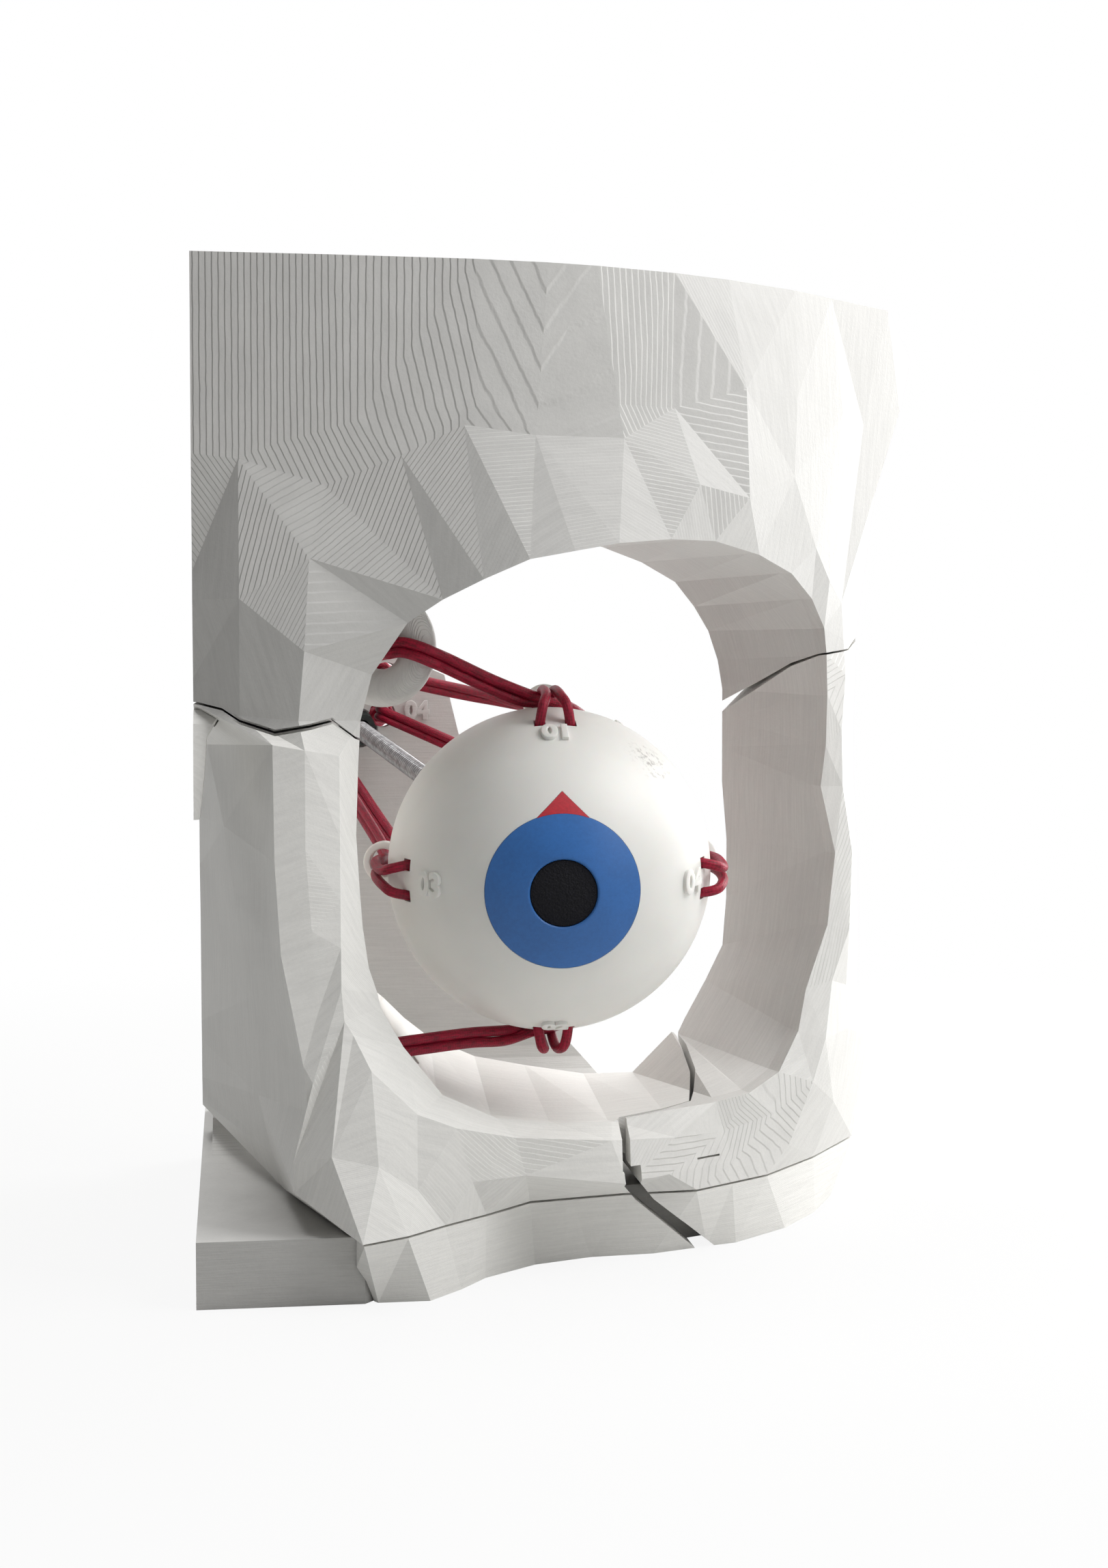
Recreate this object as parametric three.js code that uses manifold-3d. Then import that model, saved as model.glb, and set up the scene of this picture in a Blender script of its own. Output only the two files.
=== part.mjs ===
// Classroom model of the eye muscles: half a low-poly face with its eye socket, a turning eyeball,
// and six doubled elastic cords that stand for the muscles. Millimetres, +Z up, the face looks along -Y.
// The numbers below count x from the middle cut of the face, which is the model's left side, y from the
// front of the base slab and z from the table. FOOTPRINT_CENTRE moves the finished pieces to their frame.
import * as THREE from "three";
import { ConvexGeometry } from "three/addons/geometries/ConvexGeometry.js";
import { mergeVertices } from "three/addons/utils/BufferGeometryUtils.js";
import Module from "manifold-3d";

// Driving dimensions
const ORIGIN = new THREE.Vector3();
const FORWARD = new THREE.Vector3(0, -1, 0);
const BACKWARD = new THREE.Vector3(0, 1, 0);
const FOOTPRINT_CENTRE = new THREE.Vector3(72, 60.5, 0);
const SLAB_TOP = 11.6;
const JOINT_GAP = 0.4; // closed joint between two bones
const NUT_ACROSS_CORNERS = 8;
const NUT_THICKNESS = 3.2;
const NUT_SEAT_DEPTH = -1.5; // the front nut sits in a recess square to the slanting rod
const ROD_IN_BALL = 6;
const ROD_TAIL = 16.88; // behind the plate's front face, along the rod
const TROCHLEA_TURN = THREE.MathUtils.degToRad(-32);
const RING_SIDES = 8;
const SLOT_WIDTH = 2.8;
const SLOT_LENGTH = 2.8;
const SLOT_DEPTH = 6.5; // from 1 mm outside the surface
const TUNNEL_HEIGHT = 3.2;
const LONG_WRAP = THREE.MathUtils.degToRad(35); // a cord that lies further round the globe gets one more point
const SLOT_SPREAD = 2.9; // half the distance between two slots
const STRAND_SPREAD = 1.1; // half the distance between the two strands
const LOOP_RISE = 1.1;
const BRIDGE_RISE = 3;
const CORD_SIDES = 8;
const CORD_STEP_LENGTH = 3.6;
const MOST_CORD_STEPS = 78;
const KNOT_RADIUS = 3.4;
const SLAB_DEPTH = 124;
const PLATE_FRONT_Y = 112;
const PLATE_THICKNESS = 7;
const HOLE_RADIUS = 2.9; // cord holes in the back plate
const SUTURE_GAP = 1.1; // open joint between two bones
const EYE = new THREE.Vector3(65, 32, 72); // centre of the eyeball
const GLOBE_RADIUS = 30;
const GAZE_IN_DEG = 2.7; // the eye rests looking slightly inwards and down
const GAZE_DOWN_DEG = 3.8;
const IRIS_RADIUS = 13.5;
const PUPIL_RADIUS = 5.95;
const INLAY_THICKNESS = 1.3;
const FIT_GAP = 0.3; // between pieces that touch or slide
const ROD_RADIUS = 2;
const ROD_FOOT = new THREE.Vector3(33.5, 112, 96.5); // where the rod's axis meets the back plate
const BALL_RADIUS = 8; // ball on the rod's front end
const LINER_WALL = 1.7; // each of the two turning cups round the ball
const CUP_OPENING_DEG = 48; // half angle of the cups' opening round the rod
const GLOBE_OPENING_DEG = 48;
const CORD_RADIUS = 1;
const EYELET_OUTER_RADIUS = 4;
const EYELET_HOLE_RADIUS = 2.6;
const EYELET_THICKNESS = 2;
const EYELET_OFFSET = 1.8; // eyelet centre outside the globe's surface
const TROCHLEA_OUTER_RADIUS = 11;
const TROCHLEA_HOLE_RADIUS = 4;
const TROCHLEA_THICKNESS = 5;
const TROCHLEA_CENTRE = new THREE.Vector3(34.2, 35, 113);

const wasm = await Module();
wasm.setup();

const BONE = { color: 0xd3d1cd, roughness: 0.62, metalness: 0 };
const BASE = { color: 0xcbc9c5, roughness: 0.62, metalness: 0 };
const WHITE = { color: 0xf0eeea, roughness: 0.5, metalness: 0 };
const BLUE = { color: 0x2a62a6, roughness: 0.45, metalness: 0 };
const BLACK = { color: 0x17181b, roughness: 0.95, metalness: 0 };
const RED = { color: 0xb3202f, roughness: 0.5, metalness: 0 };
const CORD = { color: 0x8c1430, roughness: 0.7, metalness: 0 };
const STEEL = { color: 0x9b9b9c, roughness: 0.35, metalness: 0.9 };
const DARK_STEEL = { color: 0x2c302f, roughness: 0.4, metalness: 0.8 };

// A closed geometry as a solid that can be joined and cut.
function solid(geometry) {
  const bare = geometry.clone();
  bare.deleteAttribute("normal");
  bare.deleteAttribute("uv");
  const merged = mergeVertices(bare, 1e-4);
  const mesh = new wasm.Mesh({
    numProp: 3,
    vertProperties: new Float32Array(merged.attributes.position.array),
    triVerts: new Uint32Array(merged.index.array),
  });
  return new wasm.Manifold(mesh);
}

function geometryOf(manifold) {
  const mesh = manifold.getMesh();
  const geometry = new THREE.BufferGeometry();
  geometry.setAttribute("position", new THREE.BufferAttribute(mesh.vertProperties, 3));
  geometry.setIndex(new THREE.BufferAttribute(mesh.triVerts, 1));
  return geometry;
}

const model = new THREE.Group();
model.name = "eye_muscle_simulator";

function addPart(name, shape, finish) {
  const mesh = new THREE.Mesh(geometryOf(shape), new THREE.MeshStandardMaterial({ ...finish, flatShading: true }));
  mesh.name = name;
  mesh.position.sub(FOOTPRINT_CENTRE);
  model.add(mesh);
}

// Box between two corners.
function block(low, high) {
  const size = new THREE.Vector3().subVectors(high, low);
  const centre = new THREE.Vector3().addVectors(low, high).multiplyScalar(0.5);
  return solid(new THREE.BoxGeometry(size.x, size.y, size.z).translate(centre.x, centre.y, centre.z));
}

// Outline in the plan (x, y), raised from z = low to z = high.
function prismUp(outline, low, high) {
  const shape = new THREE.Shape(outline.map(([x, y]) => new THREE.Vector2(x, y)));
  const geometry = new THREE.ExtrudeGeometry(shape, { depth: high - low, bevelEnabled: false, curveSegments: 8 });
  return solid(geometry.translate(0, 0, low));
}

// Outline seen from the front (x, z), running back from y = front to y = rear.
function prismBack(shape, front, rear) {
  const geometry = new THREE.ExtrudeGeometry(shape, { depth: rear - front, bevelEnabled: false, curveSegments: 8 });
  return solid(geometry.rotateX(Math.PI / 2).translate(0, rear, 0));
}

function shapeOf(outline) {
  return new THREE.Shape(outline.map(([a, b]) => new THREE.Vector2(a, b)));
}

// Turned piece: a closed profile of (radius, height) about an axis that starts at `from` towards `to`.
function turned(profile, from, to, segments = 32) {
  const points = profile.map(([r, h]) => new THREE.Vector2(r, h));
  const geometry = new THREE.LatheGeometry(points, segments);
  const axis = new THREE.Vector3().subVectors(to, from).normalize();
  const turn = new THREE.Quaternion().setFromUnitVectors(new THREE.Vector3(0, 1, 0), axis);
  geometry.applyQuaternion(turn).translate(from.x, from.y, from.z);
  return solid(geometry);
}

function cylinder(radius, from, to, segments = 24) {
  const length = from.distanceTo(to);
  return turned([[0, 0], [radius, 0], [radius, length], [0, length]], from, to, segments);
}

// Bones: the whole half face is lofted round the eye socket, clockwise from the root of the nose.
// Each section runs from the outer edge over two crests to the rim, into the socket and round the back.
const SOCKET_CENTRE = new THREE.Vector3(76, 60, 79);
const SECTIONS = [
  // frontal bone: root of the nose, brow and forehead
  { edge: [-2, 16, 104], upper: [8, 10, 101], lower: [18, 7, 100], rim: [29, 13, 100],
    deep: [19, 60, 103], web: [-3, 92, 104], back: [-3, 60, 104] },
  { edge: [-2, 12, 121], upper: [8, 7, 121], lower: [19, 5, 112], rim: [31, 12.5, 108],
    deep: [23, 62, 113], web: [7, 92, 116], back: [-3, 60, 122] },
  { edge: [-2, 8.4, 146], upper: [8, 8.4, 145], lower: [20, 7, 128], rim: [37, 8.8, 117],
    deep: [28, 64, 122], web: [12, 88, 128], back: [-3, 32, 146] },
  { edge: [-2, 8.4, 180], upper: [14, 8.4, 147.5], lower: [22.9, 9.2, 140.6], rim: [43, 7, 121],
    deep: [36, 68, 129], web: [20, 72, 138], back: [-3, 24, 180] },
  { edge: [24, 8.4, 180], upper: [28.3, 8.5, 151.8], lower: [36, 9.3, 146], rim: [50, 5.5, 124.5],
    deep: [46, 70, 133], web: [36, 50, 147], back: [24, 23, 180] },
  { edge: [49, 9.2, 180], upper: [49.5, 9.9, 155.4], lower: [47, 9.8, 151.5], rim: [58, 5, 128],
    deep: [56, 72, 135], web: [48, 40, 150], back: [48, 22, 180] },
  { edge: [62, 10.9, 180], upper: [60.5, 11.3, 158], lower: [59.8, 11.4, 150], rim: [66, 5.5, 129.5],
    deep: [66, 74, 136], web: [62, 38, 152], back: [62, 22, 180] },
  { edge: [71, 13, 180], upper: [75, 14.2, 156], lower: [76, 14, 150], rim: [74, 7, 131],
    deep: [74, 75, 136], web: [74, 38, 152], back: [72, 24, 180] },
  { edge: [86, 18.4, 180], upper: [86, 18.5, 156], lower: [90, 15, 142], rim: [84, 11, 132],
    deep: [82, 75, 134], web: [86, 42, 152], back: [84, 31, 180] },
  { edge: [97, 24, 180], upper: [100, 22, 160], lower: [100, 19, 140], rim: [93, 16, 132],
    deep: [90, 75, 131], web: [96, 48, 150], back: [93, 37, 180] },
  { edge: [112, 34, 180], upper: [112, 32, 160], lower: [111, 30, 145], rim: [103, 24, 130],
    deep: [97, 75, 127], web: [108, 56, 148], back: [105, 46, 180] },
  { edge: [121, 42, 180], upper: [124, 44, 158], lower: [117, 37, 132], rim: [111, 32, 127],
    deep: [101, 75, 122], web: [116, 62, 144], back: [112, 53, 180] },
  { edge: [136, 55, 180], upper: [130, 51, 157], lower: [121, 42, 126], rim: [117, 40, 122.5],
    deep: [104, 75, 117], web: [124, 68, 140], back: [124, 66, 180] },
  { edge: [144, 67, 172], upper: [140, 60, 161], lower: [125, 48, 122], rim: [120.5, 44, 117],
    deep: [106, 75, 111], web: [129, 74, 136], back: [132, 78, 168] },
  { edge: [138, 70, 148], upper: [132, 58, 140], lower: [126, 50, 115], rim: [121.5, 46, 112],
    deep: [107, 75, 105], web: [128, 80, 126], back: [132, 80, 146] },
  // cheek bone: outer wall of the socket and the cheek
  { edge: [134, 70, 118], upper: [131, 60, 114], lower: [127, 52, 108], rim: [122.5, 49, 104],
    deep: [107, 75, 99], web: [124, 82, 112], back: [130, 80, 118] },
  { edge: [131, 66, 100], upper: [130, 58, 98], lower: [126, 51, 97], rim: [122.5, 50, 94],
    deep: [107, 75, 93], web: [122, 82, 96], back: [128, 78, 100] },
  { edge: [131, 66, 84], upper: [130, 57, 85], lower: [126, 50, 86], rim: [121.5, 50, 86],
    deep: [107, 75, 86], web: [121, 80, 84], back: [127, 78, 84] },
  { edge: [131, 68, 70], upper: [131, 58, 72], lower: [128, 50, 73], rim: [124, 48, 73],
    deep: [108, 75, 74], web: [120, 80, 70], back: [127, 80, 70] },
  { edge: [131, 68, 56], upper: [131, 57, 57], lower: [127, 48, 58], rim: [122, 46, 59],
    deep: [108, 75, 62], web: [120, 82, 56], back: [128, 81, 56] },
  { edge: [134, 68, 44], upper: [128, 54, 46], lower: [123, 46, 48], rim: [117, 43, 47],
    deep: [107, 74, 52], web: [118, 84, 44], back: [130, 82, 42] },
  { edge: [137, 70, 33], upper: [129, 56, 37], lower: [121, 43, 37], rim: [115, 41, 39],
    deep: [103, 72, 45], web: [116, 86, 32], back: [131, 84, 28] },
  { edge: [134, 71, 12], upper: [125, 52, 23], lower: [118, 41, 29], rim: [110, 36, 32],
    deep: [98, 68, 38], web: [112, 80, 16], back: [128, 84, 12] },
  { edge: [121, 52, 12], upper: [113, 40, 17], lower: [109, 36, 24], rim: [103, 31, 29],
    deep: [96, 66, 35], web: [104, 66, 16], back: [112, 64, 12] },
  { edge: [108, 37, 12], upper: [100, 31, 16], lower: [98, 30, 22], rim: [96, 28, 28],
    deep: [94, 62, 36], web: [98, 60, 18], back: [100, 52, 12] },
  // upper jaw bone: floor of the socket, front of the cheek, inner wall and the side of the nose
  { edge: [92, 26, 12], upper: [86, 22, 16], lower: [87, 21, 23], rim: [86, 24, 27.5],
    deep: [86, 62, 28], web: [86, 60, 18], back: [86, 44, 12] },
  { edge: [78, 25, 12], upper: [77, 15, 16], lower: [74, 15, 24], rim: [75, 20, 26.5],
    deep: [76, 62, 28], web: [76, 60, 18], back: [74, 42, 12] },
  { edge: [60, 21, 12], upper: [58, 11, 19], lower: [56, 10, 26], rim: [64, 17, 27],
    deep: [64, 62, 30], web: [64, 60, 20], back: [60, 38, 12] },
  { edge: [51, 12, 12], upper: [48, 7, 19], lower: [45, 5, 29], rim: [53, 13, 29],
    deep: [54, 62, 32], web: [52, 62, 22], back: [50, 34, 12] },
  { edge: [43, 5, 12], upper: [38, 2, 19], lower: [38, 3, 32], rim: [43, 10, 34],
    deep: [45, 62, 36], web: [38, 66, 22], back: [38, 32, 12] },
  { edge: [36, -2, 12], upper: [31, -2, 24], lower: [30, 1, 40], rim: [36, 8, 43],
    deep: [40, 62, 40], web: [24, 78, 22], back: [28, 30, 12] },
  { edge: [28, -7, 12], upper: [23, -2, 26], lower: [27, 3, 46], rim: [32, 8, 50],
    deep: [36, 62, 44], web: [-3, 98, 20], back: [16, 36, 12] },
  { edge: [16.8, 3.5, 18.8], upper: [16.6, 2.6, 24.2], lower: [25.5, 3, 48.5], rim: [31.5, 8, 52.5],
    deep: [34.5, 62, 45.3], web: [-3, 97, 24], back: [13.5, 36, 19] },
  { edge: [19.2, 2.8, 33], upper: [20, 2, 38], lower: [25, 3, 54], rim: [30, 8, 57],
    deep: [30, 62, 48], web: [-3, 96, 34], back: [11, 36, 30] },
  { edge: [18.4, 2.6, 41], upper: [21, 3.2, 50], lower: [25, 4, 61], rim: [29, 8.5, 64],
    deep: [26, 62, 56], web: [-3, 94, 50], back: [9, 36, 48] },
  { edge: [14.7, 2.8, 60], upper: [20, 3.4, 64], lower: [25, 5, 69], rim: [28.5, 9, 71],
    deep: [22, 62, 66], web: [-3, 92, 64], back: [7, 36, 66] },
  { edge: [13.7, 3.2, 76], upper: [19, 3.8, 78], lower: [25, 6, 80], rim: [28, 10, 80],
    deep: [20, 61, 78], web: [-3, 92, 80], back: [5, 38, 80] },
  { edge: [13.5, 4.4, 96], upper: [19, 4.8, 95], lower: [25, 7.6, 94], rim: [28.5, 12, 92],
    deep: [19, 60, 91], web: [-3, 92, 94], back: [2, 42, 95] },
];
const LIP_SHARE = 0.14; // the rounded lip lies this share of the way into the socket
const LIP_SWELL = 1.2;
const WALL = 4; // thickness of the socket wall's rear edge

function awayFromSocket(point, distance) {
  const out = new THREE.Vector3(point.x - SOCKET_CENTRE.x, 0, point.z - SOCKET_CENTRE.z).normalize();
  return point.clone().addScaledVector(out, distance);
}

function sectionPoints(section) {
  const at = (key) => new THREE.Vector3(...section[key]);
  const lip = awayFromSocket(at("rim").lerp(at("deep"), LIP_SHARE), LIP_SWELL);
  const tip = awayFromSocket(at("deep"), WALL);
  tip.y += 2;
  return [at("edge"), at("upper"), at("lower"), at("rim"), lip, at("deep"), tip, at("web"), at("back")];
}

// Ring of sections, each joined to the next by two triangles a side, split along the shorter diagonal.
function ringLoft(sections) {
  const positions = [];
  const rings = sections.map(sectionPoints);
  const count = rings[0].length;
  const addTriangle = (a, b, c) => positions.push(...a.toArray(), ...c.toArray(), ...b.toArray());
  rings.forEach((ring, i) => {
    const next = rings[(i + 1) % rings.length];
    for (let j = 0; j < count; j++) {
      const k = (j + 1) % count;
      if (ring[j].distanceTo(next[k]) < ring[k].distanceTo(next[j])) {
        addTriangle(ring[j], next[j], next[k]);
        addTriangle(ring[j], next[k], ring[k]);
      } else {
        addTriangle(ring[j], next[j], ring[k]);
        addTriangle(next[j], next[k], ring[k]);
      }
    }
  });
  const geometry = new THREE.BufferGeometry();
  geometry.setAttribute("position", new THREE.Float32BufferAttribute(positions, 3));
  return solid(geometry);
}

// Ribbon of uneven width along a seam, as a flat outline: [a, b, width] points, widened along `across`.
function ribbon(seam, across) {
  const side = (sign) => seam.map(([a, b, width]) => [
    a + sign * across[0] * width / 2,
    b + sign * across[1] * width / 2,
  ]);
  return shapeOf([...side(1), ...side(-1).reverse()]);
}

const ALL_THE_WAY = [-30, 140];
// Each suture is a seam seen from the front (x, z, width), an open groove outside and a close joint inside.
const NOSE_SEAM = [[-4, 103.5], [1, 103], [5, 102], [8, 100], [11, 99], [14, 98], [20, 99], [24, 100], [28, 97], [40, 93]];
const NOSE_GROOVE_DEPTH_Y = 10.5;
const TEMPLE_SEAM = [[95, 95, 2.6], [107, 101.5, 2.2], [112, 105.5, 1.4], [117, 110, 0.7], [121, 112, JOINT_GAP],
  [128, 113, JOINT_GAP], [134, 117, 1.4], [150, 119, 1.6]];
const CHEEK_SEAM = [[78, 19, 3.4], [78.5, 15, 3.4], [82, 10.6, 3.4], [88.5, 5.2, 3.8], [94.5, 0, 4], [96, -2, 4]];
const CHEEK_SEAM_PLAN = [[76.5, -30, 2], [77, 22, 2], [78, 27, 1.4], [92, 33, JOINT_GAP], [95, 45, 1.2], [96, 90, 2.4]];
const CHEEK_SHELF_Z = 18;

function sutures() {
  const noseJoint = ribbon(NOSE_SEAM.map(([x, z]) => [x, z, JOINT_GAP]), [0, 1]);
  const noseGroove = ribbon(NOSE_SEAM.map(([x, z]) => [x, z, SUTURE_GAP]), [0, 1]);
  const planRibbon = new THREE.ExtrudeGeometry(ribbon(CHEEK_SEAM_PLAN, [0.8, -0.6]), { depth: 60, bevelEnabled: false });
  return [
    prismBack(noseJoint, ...ALL_THE_WAY),
    prismBack(noseGroove, ALL_THE_WAY[0], NOSE_GROOVE_DEPTH_Y),
    prismBack(ribbon(TEMPLE_SEAM, [0, 1]), ...ALL_THE_WAY),
    prismBack(ribbon(CHEEK_SEAM, [1, 0]), ...ALL_THE_WAY),
    solid(planRibbon.translate(0, 0, CHEEK_SHELF_Z)),
    block(new THREE.Vector3(77, 26, CHEEK_SHELF_Z - JOINT_GAP), new THREE.Vector3(97, 95, CHEEK_SHELF_Z)),
  ];
}

function cutAll(piece, cutters) {
  return cutters.reduce((rest, cutter) => rest.subtract(cutter), piece);
}

const MIDDLE_CUT = block(new THREE.Vector3(-60, -60, -20), new THREE.Vector3(0, 240, 280));

// The piece whose middle lies nearest to a place.
function nearest(pieces, place) {
  const distance = (piece) => {
    const box = piece.boundingBox();
    const middle = new THREE.Vector3(...box.min).add(new THREE.Vector3(...box.max)).multiplyScalar(0.5);
    return middle.distanceTo(place);
  };
  return [...pieces].sort((a, b) => distance(a) - distance(b))[0];
}

function largest(pieces) {
  return [...pieces].sort((a, b) => b.volume() - a.volume())[0];
}

function addBones() {
  const pieces = cutAll(ringLoft(SECTIONS), [MIDDLE_CUT, ...sutures()]).decompose();
  const frontal = nearest(pieces, new THREE.Vector3(72, 50, 140));
  const cheek = nearest(pieces, new THREE.Vector3(110, 52, 60));
  const jaw = nearest(pieces, new THREE.Vector3(48, 45, 55));
  addPart("frontal_bone", frontal.subtract(trochleaRing(FIT_GAP)), BONE);
  addPart("zygomatic_bone", cheek, BONE);
  addPart("maxilla", cutAll(jaw, [backFillet(JOINT_GAP), cordPassage(), nasalBone(FIT_GAP)]), BONE);
  addPart("nasal_bone", nasalBone(0), BONE);
}

// Nasal bone: a slim wedge on the middle cut, from the root of the nose down.
function nasalBone(extra) {
  const outline = [[101.9, 15, 5.2], [99.5, 12, 3.3], [97, 11, 2.3], [90, 9.5, 1.8], [83, 9, 1]];
  const wedge = (rows) => {
    const corners = rows.flatMap(([z, y, x]) => [
      [0, y - extra, z], [x + extra, y + 1 - extra, z], [x + extra, y + 9, z], [0, y + 10, z]]);
    return solid(new ConvexGeometry(corners.map((corner) => new THREE.Vector3(...corner))));
  };
  return wedge(outline.slice(0, 3)).add(wedge(outline.slice(2)));
}

// Base: a slab with a back plate that grows out of it, and the two bone feet beside the slab.
const SLAB_OUTLINE = [[0, 0], [28.7, 0], [32, 4], [44, 16], [54, 25], [68, 31], [84, 34], [97, 40], [108, 50],
  [114, 62], [112, 74], [98, 90], [96, SLAB_DEPTH], [0, SLAB_DEPTH]];
const PLATE_LEFT_X = 2;
// Right edge of the back plate seen from the front, from its shoulder down to the flared foot.
const PLATE_RIGHT_EDGE = [[30, 118], [38, 117.5], [48.8, 109.6], [52.7, 107.9], [54.1, 102], [55.7, 95.5], [61, 76],
  [69, 50], [76, 34], [80.6, 26], [86, 20], [94, 14], [94, SLAB_TOP - 2]];
const FILLET_LENGTH = 49; // how far in front of the plate the slab starts to rise
const FILLET_HEIGHT = 14;
const FILLET_STEPS = 9;
const FILLET_WIDTH = 95;

// Gentle quarter ellipse between the slab's top and the plate's front, `extra` larger for its cut-out.
function backFillet(extra) {
  const profile = [];
  for (let i = 0; i <= FILLET_STEPS; i++) {
    const turn = (i / FILLET_STEPS) * Math.PI / 2;
    const y = PLATE_FRONT_Y - FILLET_LENGTH + FILLET_LENGTH * Math.sin(turn);
    profile.push([y, SLAB_TOP + FILLET_HEIGHT * (1 - Math.cos(turn)) + extra]);
  }
  profile.push([PLATE_FRONT_Y + 1, SLAB_TOP + FILLET_HEIGHT + extra], [PLATE_FRONT_Y + 1, SLAB_TOP - 2],
    [PLATE_FRONT_Y - FILLET_LENGTH, SLAB_TOP - 2]);
  const geometry = new THREE.ExtrudeGeometry(shapeOf(profile), { depth: FILLET_WIDTH, bevelEnabled: false });
  const turnUp = new THREE.Matrix4().makeBasis(
    new THREE.Vector3(0, 1, 0), new THREE.Vector3(0, 0, 1), new THREE.Vector3(1, 0, 0));
  return solid(geometry.applyMatrix4(turnUp));
}

const PLATE_HOLES = {
  superior_rectus: [39.9, 107.8],
  lateral_rectus: [39.1, 99.4],
  medial_rectus: [22.6, 102.8],
  inferior_rectus: [30.1, 88.6],
  superior_oblique: [30.5, 107.5],
};

const PLATE_OUTLINE = [[PLATE_LEFT_X, SLAB_TOP - 2], [PLATE_LEFT_X, 112], [8, 118], ...PLATE_RIGHT_EDGE];

function baseSlab() {
  const plate = prismBack(shapeOf(PLATE_OUTLINE), PLATE_FRONT_Y, PLATE_FRONT_Y + PLATE_THICKNESS);
  const rise = backFillet(0).intersect(prismBack(shapeOf(PLATE_OUTLINE), 0, PLATE_FRONT_Y + 2));
  const holes = Object.values(PLATE_HOLES).map(([x, z]) => cylinder(HOLE_RADIUS,
    new THREE.Vector3(x, PLATE_FRONT_Y - 3, z), new THREE.Vector3(x, PLATE_FRONT_Y + PLATE_THICKNESS + 3, z)));
  const rodHole = cylinder(ROD_RADIUS + FIT_GAP, rodPoint(-24), rodPoint(24));
  const nutSeat = cylinder(NUT_ACROSS_CORNERS / 2 + FIT_GAP, rodPoint(NUT_SEAT_DEPTH), rodPoint(16));
  const slab = prismUp(SLAB_OUTLINE, 0, SLAB_TOP);
  return cutAll(slab.add(plate).add(rise), [...holes, rodHole, nutSeat]);
}

// Bottom (x, y) and top (x, y) of the outer face of the bones' feet, from the middle to the outer side.
const FOOT_FACE = [
  [[31, 0.4], [28.2, -6.9]], [[40, 0.4], [36, -2]], [[46, 7], [43, 5]], [[51, 14], [51, 12]], [[61, 22], [60, 21]],
  [[72, 26], [68, 22.8]], [[84, 27], [78, 25]], [[95, 31], [92, 26]], [[101, 33], [100, 31.5]],
  [[113, 43], [108, 37]], [[122, 55], [121, 52]], [[129, 69], [134, 71]],
];
const FOOT_BACK = [[127, 83], [112, 74], [60, 40], [26, 8]];

function feet() {
  const low = [...FOOT_FACE.map(([floor]) => floor), ...FOOT_BACK];
  const high = [...FOOT_FACE.map(([, seam]) => seam), ...FOOT_BACK];
  const strip = capLoft(low.map(([x, y]) => [x, y, 0]), high.map(([x, y]) => [x, y, SLAB_TOP]));
  const inside = prismUp(offsetOutline(SLAB_OUTLINE, JOINT_GAP), -1, SLAB_TOP + 1);
  const groove = prismBack(ribbon(CHEEK_SEAM, [1, 0]), ...ALL_THE_WAY);
  return cutAll(strip, [inside, groove]).decompose();
}

// Two outlines with the same number of points, joined by a skin and closed at both ends.
function capLoft(low, high) {
  const flat = low.map(([x, y]) => new THREE.Vector2(x, y));
  const caps = THREE.ShapeUtils.triangulateShape(flat, []);
  const positions = [];
  const add = (...corners) => corners.forEach((corner) => positions.push(...corner));
  for (const [a, b, c] of caps) {
    add(low[a], low[c], low[b]);
    add(high[a], high[b], high[c]);
  }
  low.forEach((corner, i) => {
    const next = (i + 1) % low.length;
    add(corner, low[next], high[next]);
    add(corner, high[next], high[i]);
  });
  const geometry = new THREE.BufferGeometry();
  geometry.setAttribute("position", new THREE.Float32BufferAttribute(positions, 3));
  return solid(geometry);
}

// Outline moved outwards by `gap`, corner by corner.
function offsetOutline(outline, gap) {
  const count = outline.length;
  return outline.map((point, i) => {
    const before = new THREE.Vector2(...outline[(i + count - 1) % count]);
    const here = new THREE.Vector2(...point);
    const after = new THREE.Vector2(...outline[(i + 1) % count]);
    const normalOf = (a, b) => new THREE.Vector2(b.y - a.y, a.x - b.x).normalize();
    const first = normalOf(before, here);
    const second = normalOf(here, after);
    const middle = first.clone().add(second).normalize();
    const moved = here.addScaledVector(middle, gap / Math.max(middle.dot(first), 0.4));
    return [moved.x, moved.y];
  });
}

// Threaded rod from behind the back plate to the ball at the eye's centre, with its two nuts.
function rodPoint(distance) {
  const along = new THREE.Vector3().subVectors(EYE, ROD_FOOT).normalize();
  return ROD_FOOT.clone().addScaledVector(along, distance);
}

const ROD_LENGTH = EYE.distanceTo(ROD_FOOT);

function hexNut(near, far) {
  const body = turned([[0, 0], [NUT_ACROSS_CORNERS / 2, 0], [NUT_ACROSS_CORNERS / 2, NUT_THICKNESS], [0, NUT_THICKNESS]],
    rodPoint(near), rodPoint(far), 6);
  return body.subtract(cylinder(ROD_RADIUS + FIT_GAP, rodPoint(near - 5), rodPoint(far + 5)));
}

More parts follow.
